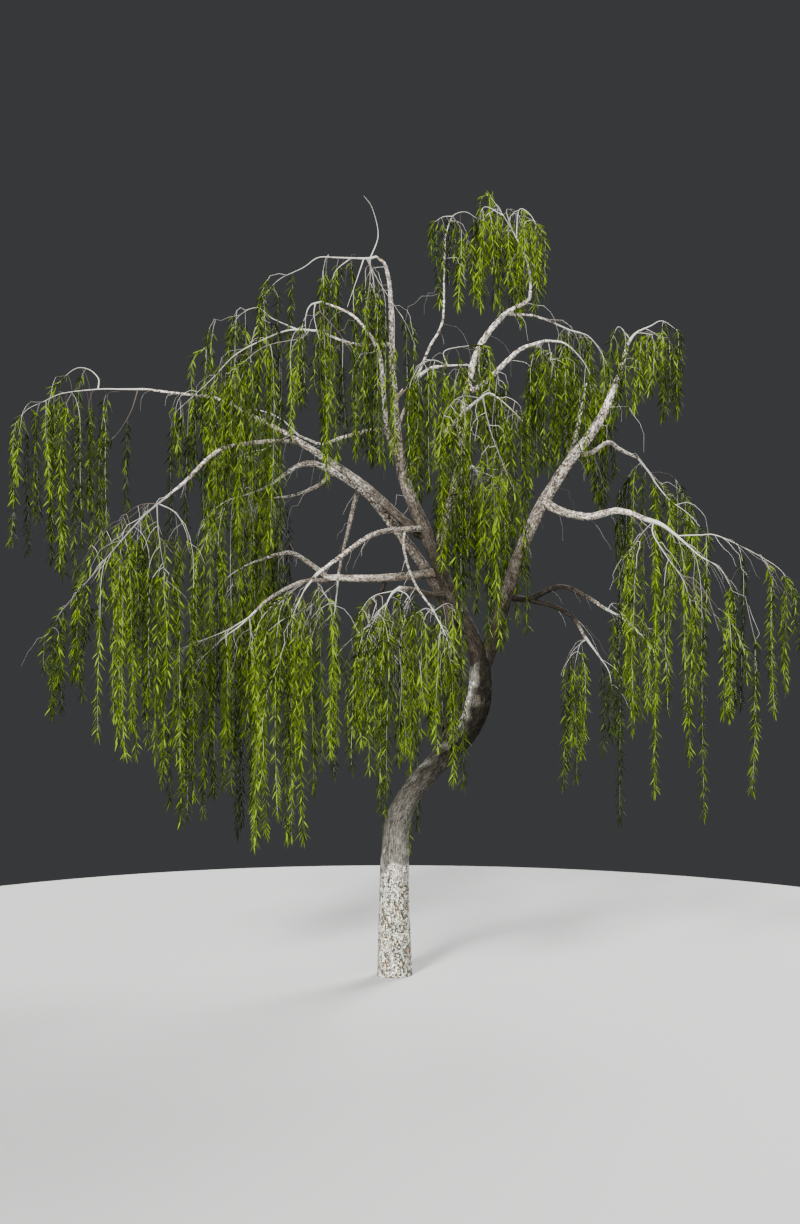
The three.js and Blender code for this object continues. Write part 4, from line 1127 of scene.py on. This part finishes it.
def bearingPlace(bearers, share):  # the place at a share of the length of all bearers
    run = share * sum(one["length"] for one in bearers)
    for one in bearers:
        if run <= one["length"]:
            break
        run -= one["length"]
    place = one["first"] + (1 - one["first"]) * min(run / one["length"], 1)
    return (one, *onRow(one["row"], one["runs"], place))


def strandRow(root, heading, offset, drop, phase):
    share = archShares
    led = np.minimum(share / strandSettings["arch"], 1)
    out = offset * (1 - (1 - led) ** 2)
    rise = strandSettings["lift"] * offset * np.sin(math.pi * led)
    sway = strandSettings["sway"] * mm * share * np.sin(phase + strandSettings["swayTurn"] * share)
    x = root[0] + math.cos(heading) * out - math.sin(heading) * sway
    y = root[1] + math.sin(heading) * out + math.cos(heading) * sway
    z = root[2] + rise - drop * share ** strandSettings["fallCurve"]
    return np.stack([x, y, z], 1)


def limbSpots():  # places along every limb, each with the radius there
    rows = [evenRow(*limbRow(limb), strandSettings["limbEvery"] * mm) for limb in limbs.values()]
    return np.vstack([row[0] for row in rows]), np.concatenate([row[1] for row in rows])


def isClear(row, spots, radii):  # of every limb
    shares = np.linspace(0, len(row) - 1, strandSettings["probes"])[strandSettings["rooted"]:]
    fine = rowAt(shares, np.arange(len(row)), row)
    low, high = fine.min(0) - strandSettings["near"] * mm, fine.max(0) + strandSettings["near"] * mm
    near = ((spots > low) & (spots < high)).all(1)
    if not near.any():
        return True
    gaps = np.linalg.norm(fine[:, None] - spots[near][None], axis=2) - radii[near][None]
    return gaps.min() > strandSettings["room"] * mm


def seenAt(row):  # how far right and up each of its places shows
    scale = 1 + row[:, 1] / (eyeSettings["away"] * mm)
    right = eyeSettings["right"] + (row[:, 0] / mm - eyeSettings["right"]) / scale
    up = eyeSettings["up"] + (row[:, 2] / mm - eyeSettings["up"]) / scale
    return right, up


def leavesSky(row):  # whether no part of it hangs in a gap of the crown
    right, up = seenAt(row)
    ragged = skySettings["ragged"] * noise.noise(Vector(row[0]) * skySettings["raggedFine"])
    for left, far, low, high in skyGaps:
        across = (right > left + ragged) & (right < far + ragged)
        if across.any() and up[across].min() < high and up[across].max() > low:
            return False
    return True


def hungAt(row):  # where a strand hangs, and how high its root and its tip are
    return (*row[len(row) // 2][:2], row[0][2], row[-1][2])


def roomBeside(row, hung):  # how far the nearest strand hangs that has the same height somewhere
    x, y, top, tip = hungAt(row)
    others = np.array(hung).reshape(-1, 4)
    others = others[(others[:, 2] > tip) & (others[:, 3] < top)]
    if not len(others):
        return fineSettings["alone"] * mm
    return np.hypot(others[:, 0] - x, others[:, 1] - y).min()


def sprigRow(root, heading, length, habit, draws):
    share = np.linspace(0, 1, sprigSettings["places"])
    out = length * (habit["out"][0] * share - habit["out"][1] * share**2)
    height = length * (habit["up"][0] * share - habit["up"][1] * share**2)
    kinks = length * sprigSettings["kink"] * np.array([0] + [next(draws) - 0.5 for k in share[1:]])
    x = math.cos(heading) * out - math.sin(heading) * kinks
    y = math.sin(heading) * out + math.cos(heading) * kinks
    return root + np.stack([x, y, height + kinks], 1)


def sprigsOf(bearers, draws, fits):
    sprigs = []
    for one in bearers:
        habit = sprigHabits["steep" if one["hem"][0] < sprigSettings["lowHem"] else "arching"]
        count = round((1 - one["first"]) * one["length"] / (sprigSettings["every"] * mm))
        for i in range(count):
            place = one["first"] + (1 - one["first"]) * (i + next(draws)) / count
            root, way = onRow(one["row"], one["runs"], place)
            turn = between(sprigSettings["turn"], next(draws))
            length = between(habit["length"], next(draws)) * mm
            for side in ((1, -1) if i % 2 else (-1, 1)):
                heading = headingOf(way) + side * turn
                row = sprigRow(root, heading, length, habit, draws)
                if fits(row):
                    sprig = bearer(row, sprigSettings["root"] * mm, sprigSettings["tip"] * mm,
                                   sprigSettings["first"], one["hem"])
                    sprigs.append({**sprig, "isSprig": True})
                    break
    return sprigs


def bareTwigs(limb, bearers, draws):
    low = bearers[0]["hem"][0] < sprigSettings["lowHem"]
    habit = sprigHabits["steep" if low else "arching"]
    rooted = [(limbRow(limb)[0], bareSettings["boughFirst"], bareSettings["boughEvery"])]
    if low:
        rooted += [(one["row"], one["first"], bareSettings["every"]) for one in bearers]
    twigs = []
    for row, first, every in rooted:
        runs = rowRuns(row)
        count = round((1 - first) * runs[-1] / (every * mm))
        for i in range(count):
            root, way = onRow(row, runs, first + (1 - first) * (i + next(draws)) / count)
            side = 1 if next(draws) < 0.5 else -1
            heading = headingOf(way) + side * between(bareSettings["turn"], next(draws))
            length = between(bareSettings["length"], next(draws) ** bareSettings["shortOnes"]) * mm
            twig = sprigRow(root, heading, length, habit, draws)
            if ((twig > np.array(cadBox[0])) & (twig < np.array(cadBox[1]))).all():
                twigs.append(twig)
    return twigs


def hangStrand(root, heading, offset, drop, phase, fits):  # turned and shortened until it fits
    for attempt in range(strandSettings["tries"]):
        out = offset * (1 - strandSettings["nearer"] * min(attempt, strandSettings["nearerTries"]))
        fall = drop * (1 - strandSettings["shorter"] * attempt)
        row = strandRow(root, heading + attempt * goldenAngle, out, fall, phase)
        if fits(row):
            return [row]
    return []


def hemHeight(hem, share, root):
    return placed([0, between(hem, share), root[1] / mm])[2]


def dropTo(root, hem, fall):
    return max(root[2] - hemHeight(hem, fall, root), strandSettings["shortest"] * mm)


def firstStrands(foliage, bearers, fits):  # by the rule of the plain model
    draws = seededDraws(foliage["seed"])
    spread = foliage["spread"] * mm
    rows = []
    for i in range(foliage["strands"]):
        share = (i + 0.5 + 0.5 * (next(draws) - 0.5)) / foliage["strands"]
        one, root, way = bearingPlace(bearers, share)
        turn, reach, fall = next(draws), next(draws), next(draws)
        turn = strandSettings["turn"] + strandSettings["swing"] * turn
        heading = headingOf(way) + (turn if i % 2 else -turn)
        offset = spread * between((strandSettings["least"], 1.0), reach)
        rows += hangStrand(root, heading, offset, dropTo(root, one["hem"], fall), fall * anyPhase, fits)
    return rows


def fineStrand(foliage, bearers, draws, fits, hung):  # the one with most room of a few
    best, most = [], fineSettings["nearest"] * mm
    for choice in range(fineSettings["choices"]):
        one, root = bearingPlace(bearers, next(draws))[:2]
        offset = foliage["spread"] * mm * between(fineSettings["out"], next(draws))
        fall = between((fineSettings["hem"], 1), next(draws))
        drop = dropTo(root, one["hem"], fall) * between(fineSettings["drop"], next(draws))
        row = strandRow(root, next(draws) * anyTurn, offset, drop, next(draws) * anyPhase)
        room = roomBeside(row, hung)
        if room > most and fits(row):
            best, most = [row], room
    return best


def thicketStrands(foliage, bearers, thicket, draws, fits, hung):
    left, right, low, high, wanted = thicket
    rows = []
    for attempt in range(wanted * fineSettings["thicketTries"]):
        root = bearingPlace(bearers, next(draws))[1]
        offset = foliage["spread"] * mm * between(fineSettings["out"], next(draws))
        drop = root[2] - hemHeight((low, high), next(draws), root)
        row = strandRow(root, next(draws) * anyTurn, offset, drop, next(draws) * anyPhase)
        inside = left < seenAt(row)[0][-1] < right and drop > strandSettings["shortest"] * mm
        if inside and roomBeside(row, hung) > fineSettings["thickest"] * mm and fits(row):
            hung.append(hungAt(row))
            rows.append(row)
            if len(rows) == wanted:
                break
    return rows


def strandsOf(limb, spots, radii, hung):
    foliage = limb["foliage"]
    bearers, bare, extra = bearersOf(limb)
    corners = [np.array(corner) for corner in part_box(foliage["name"])]
    low, high = corners[0] - strandSettings["beyond"] * mm, corners[1] + strandSettings["beyond"] * mm

    def fits(row):
        inside = ((row > low) & (row < high)).all()
        return inside and leavesSky(row) and isClear(row, spots, radii)

    def hang(rows):
        hung.extend(hungAt(row) for row in rows)
        return rows

    rows = hang(firstStrands(foliage, bearers, fits))
    bearers += extra
    draws = seededDraws(foliage["seed"] + 1000)  # other draws than those of the plain model
    sprigs = sprigsOf(bearers, draws, fits)
    full = fullness.get(foliage["name"], fineSettings["usual"])
    for one in bearers + sprigs:  # a strand hangs on from the end of each, but for some bare sprigs
        isSprig = "isSprig" in one
        if isSprig and next(draws) > full:
            continue
        row = one["row"]
        drop = dropTo(row[-1], one["hem"], next(draws)) * between(fineSettings["drop"], next(draws))
        tail = hangStrand(row[-1], headingOf(row[-1] - row[-2]), fineSettings["tailOut"] * mm, drop,
                          next(draws) * anyPhase, fits)
        leafyFrom = sprigSettings["leafyFrom"] if isSprig else -fineSettings["leafyEnd"]
        rows += [np.vstack([row[leafyFrom:-1], strand]) for strand in hang(tail)]
    for thicket in thickets.get(foliage["name"], []):
        rows += thicketStrands(foliage, bearers + sprigs, thicket, draws, fits, hung)
    for i in range(round(foliage["strands"] * full)):
        rows += hang(fineStrand(foliage, bearers + sprigs, draws, fits, hung))
    return bearers + bare, sprigs, bareTwigs(limb, bearers, draws), rows


def tube(row, radii, sides):
    across, along = rowRings(unit(np.gradient(row, axis=0)))
    angles = ringAngles(sides)
    ring = across[:, None] * np.cos(angles)[None, :, None] + along[:, None] * np.sin(angles)[None, :, None]
    points = (row[:, None] + ring * radii[:, None, None]).reshape(-1, 3)
    return points, tubeTriangles(len(row), sides)


def twigPiece(name, foliage, bearers, sprigs, bareRows, rows, materials):
    rng = np.random.default_rng(foliage["seed"])

    def thinRow(row, settings, shares):
        radii = np.linspace(settings["root"], settings["tip"], len(row)) * mm
        return row, radii, twigSides["strand"], rng.choice(3, p=shares)

    stem, *arms = bearers
    tubes = [(stem["row"], stem["radii"], twigSides["stem"], stemTints.get(foliage["name"], 0))]
    for one in arms:
        pick = 0 if one["bare"] else rng.choice(3, p=bearerSettings["tintShares"])
        tubes.append((one["row"], one["radii"], twigSides["arm"], pick))
    for one in sprigs:
        pick = rng.choice(3, p=sprigSettings["tintShares"])
        tubes.append((one["row"], one["radii"], twigSides["sprig"], pick))
    tubes += [thinRow(row, bareSettings, bareSettings["tintShares"]) for row in bareRows]
    tubes += [thinRow(row, strandSettings, strandTwigShares) for row in rows]
    points, triangles, picks, count = [], [], [], 0
    for row, radii, sides, pick in tubes:
        ringPoints, ringTriangles = tube(row, radii, sides)
        points.append(ringPoints)
        triangles.append(ringTriangles + count)
        picks.append(np.full(len(ringTriangles), pick))
        count += len(ringPoints)
    triangles = np.vstack(triangles)
    return meshPiece(name, np.vstack(points), triangles, materials, np.concatenate(picks), smooth=True)


def leavesOn(row, rng):  # the root, way, side and size of each leaf of one strand
    runs = rowRuns(row)
    every, fanned = leafSettings["every"] * mm, leafSettings["fanned"]
    uneven, (turn, stray) = leafSettings["uneven"], leafSettings["across"]
    bare = between(leafSettings["bareTop"], rng.random() ** leafSettings["bareRare"])
    at = np.arange(runs[-1] * bare, runs[-1], every)
    at = at + rng.uniform(-uneven, uneven, len(at)) * every
    at = np.append(np.clip(at, 0, runs[-1]), np.full(fanned, runs[-1]))
    count = len(at)
    root = rowAt(at, runs, row)
    way = unit(rowAt(at, runs, unit(np.gradient(row, axis=0))))
    start = rng.uniform(0, anyTurn)
    azimuth = start + np.arange(count) * (math.pi + turn) + rng.uniform(-stray, stray, count)
    outward = np.stack([np.cos(azimuth), np.sin(azimuth), np.zeros(count)], 1)
    outward = unit(outward - way * (outward * way).sum(1)[:, None])
    angle = rng.uniform(*leafSettings["angle"], count)
    angle[-fanned:] = rng.uniform(*leafSettings["fan"], fanned)
    axis = way * np.cos(angle)[:, None] + outward * np.sin(angle)[:, None]
    side = unit(np.cross(axis, outward))
    top = np.cross(side, axis)
    roll = rng.uniform(-1, 1, count) * leafSettings["roll"]
    side = side * np.cos(roll)[:, None] + top * np.sin(roll)[:, None]
    size = rng.uniform(*leafSettings["length"], count) * mm
    return root, axis, side, size


def leafMesh(root, axis, side, size):
    top = np.cross(side, axis)
    down = np.array([0, 0, -1.0])
    columns = [root]
    for share, half in leafStations:
        centre = root + (axis * share + down * leafSettings["droop"] * share**2) * size[:, None]
        out = side * (half * leafSettings["width"] * size)[:, None]
        fold = top * (half * leafSettings["width"] * leafSettings["fold"] * size)[:, None]
        columns += [centre - out + fold, centre, centre + out + fold]
    columns.append(root + (axis + down * leafSettings["droop"]) * size[:, None])
    points = np.stack(columns, 1).reshape(-1, 3)
    one = [(0, 1, 2), (0, 2, 3)]  # the root, two stations of three points each, and the tip
    for k in (1, 2):
        one += [(k, k + 3, k + 4), (k, k + 4, k + 1)]
    one += [(4, 7, 5), (5, 7, 6)]
    starts = np.arange(len(root)) * len(columns)
    triangles = (starts[:, None, None] + np.array(one)[None]).reshape(-1, 3)
    return points, triangles, len(one)


def leafPiece(name, foliage, rows, materials):
    rng = np.random.default_rng(foliage["seed"])
    leaves, tints = [], []
    for row in rows:
        leaves.append(leavesOn(row, rng))
        stray = rng.random(len(leaves[-1][0]))
        tint = rng.choice(len(tintShares), p=tintShares) - leafSteps.get(foliage["name"], 0)
        tint = tint - sum(stray < share for share in tintStray["brighter"])
        tint = tint + sum(stray > 1 - share for share in tintStray["darker"])
        tints.append(np.clip(tint, 0, len(tintShares) - 1))
    points, triangles, each = leafMesh(*(np.concatenate(part) for part in zip(*leaves)))
    return meshPiece(name, points, triangles, materials, np.repeat(np.concatenate(tints), each))


def makeFoliage():
    leafColours = [plainMaterial(name, colour, **leafFinish) for name, colour in leafTints.items()]
    twigColours = [plainMaterial(name, colour, **twigFinish) for name, colour in twigTints.items()]
    spots, radii = limbSpots()
    hung = []
    counts = {"bark": 0, "foliage": 0}
    for limb in limbs.values():
        if "foliage" not in limb:
            continue
        foliage = limb["foliage"]
        node = foliage["name"]
        *twigRows, rows = strandsOf(limb, spots, radii, hung)
        twigs = twigPiece(node.replace("foliage", "twigs"), foliage, *twigRows, rows, twigColours)
        leaves = leafPiece(node.replace("foliage", "leaves"), foliage, rows, leafColours)
        for piece, slot in ((twigs, "bark"), (leaves, "foliage")):
            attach(piece, "root")
            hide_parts(node)
            counts[slot] += len(piece.data.polygons)
    print("foliage:", len(hung), "strands with", counts["bark"], "triangles of twigs and",
          counts["foliage"], "of leaves")


# the room

roomSettings = {
    "floorRadius": 9.5,
    "floorSides": 96,
    "floorColour": (0.36, 0.355, 0.35),
    "floorRoughness": 0.9,
    "skyColour": (0.92, 0.95, 1.0),
    "skyStrength": 0.05,
    "lights": {
        "key": {"from": (-6, -15, 10), "spread": 0.2, "strength": 11.5},
        "fill": {"from": (5, -14, 3), "spread": 1.0, "strength": 3},
        "back": {"from": (9, 15, 10), "spread": 0.5, "strength": 9},
    },
}


def makeRoom():
    bpy.ops.mesh.primitive_circle_add(vertices=roomSettings["floorSides"], radius=roomSettings["floorRadius"],
                                      fill_type="NGON")
    floor = bpy.context.object
    floor.name = "floor"
    floor.data.materials.append(plainMaterial("pale floor", roomSettings["floorColour"],
                                              roomSettings["floorRoughness"]))
    world = bpy.data.worlds.new("pale sky")
    world.use_nodes = True
    background = world.node_tree.nodes["Background"]
    background.inputs[0].default_value = (*roomSettings["skyColour"], 1)
    background.inputs[1].default_value = roomSettings["skyStrength"]
    bpy.context.scene.world = world
    for name, settings in roomSettings["lights"].items():
        lamp = bpy.data.lights.new(name, "SUN")
        lamp.angle = settings["spread"]
        lamp.energy = settings["strength"]
        light = bpy.data.objects.new(name + " light", lamp)
        light.location = settings["from"]
        light.rotation_euler = (-Vector(settings["from"])).to_track_quat("-Z", "Y").to_euler()
        bpy.context.collection.objects.link(light)
    print("room: floor, sky and three soft lights")


def makeCamera():
    camera = bpy.data.objects.new("camera", bpy.data.cameras.new("camera"))
    camera.location = (eyeSettings["right"] * mm, -eyeSettings["away"] * mm, eyeSettings["up"] * mm)
    camera.rotation_euler = (math.pi / 2, 0, 0)
    camera.data.lens = eyeSettings["lens"]
    camera.data.sensor_width = eyeSettings["sensor"]
    camera.data.clip_end = eyeSettings["farthest"] * mm
    bpy.context.collection.objects.link(camera)
    bpy.context.scene.camera = camera


makeBark()
makeFoliage()
makeRoom()
makeCamera()
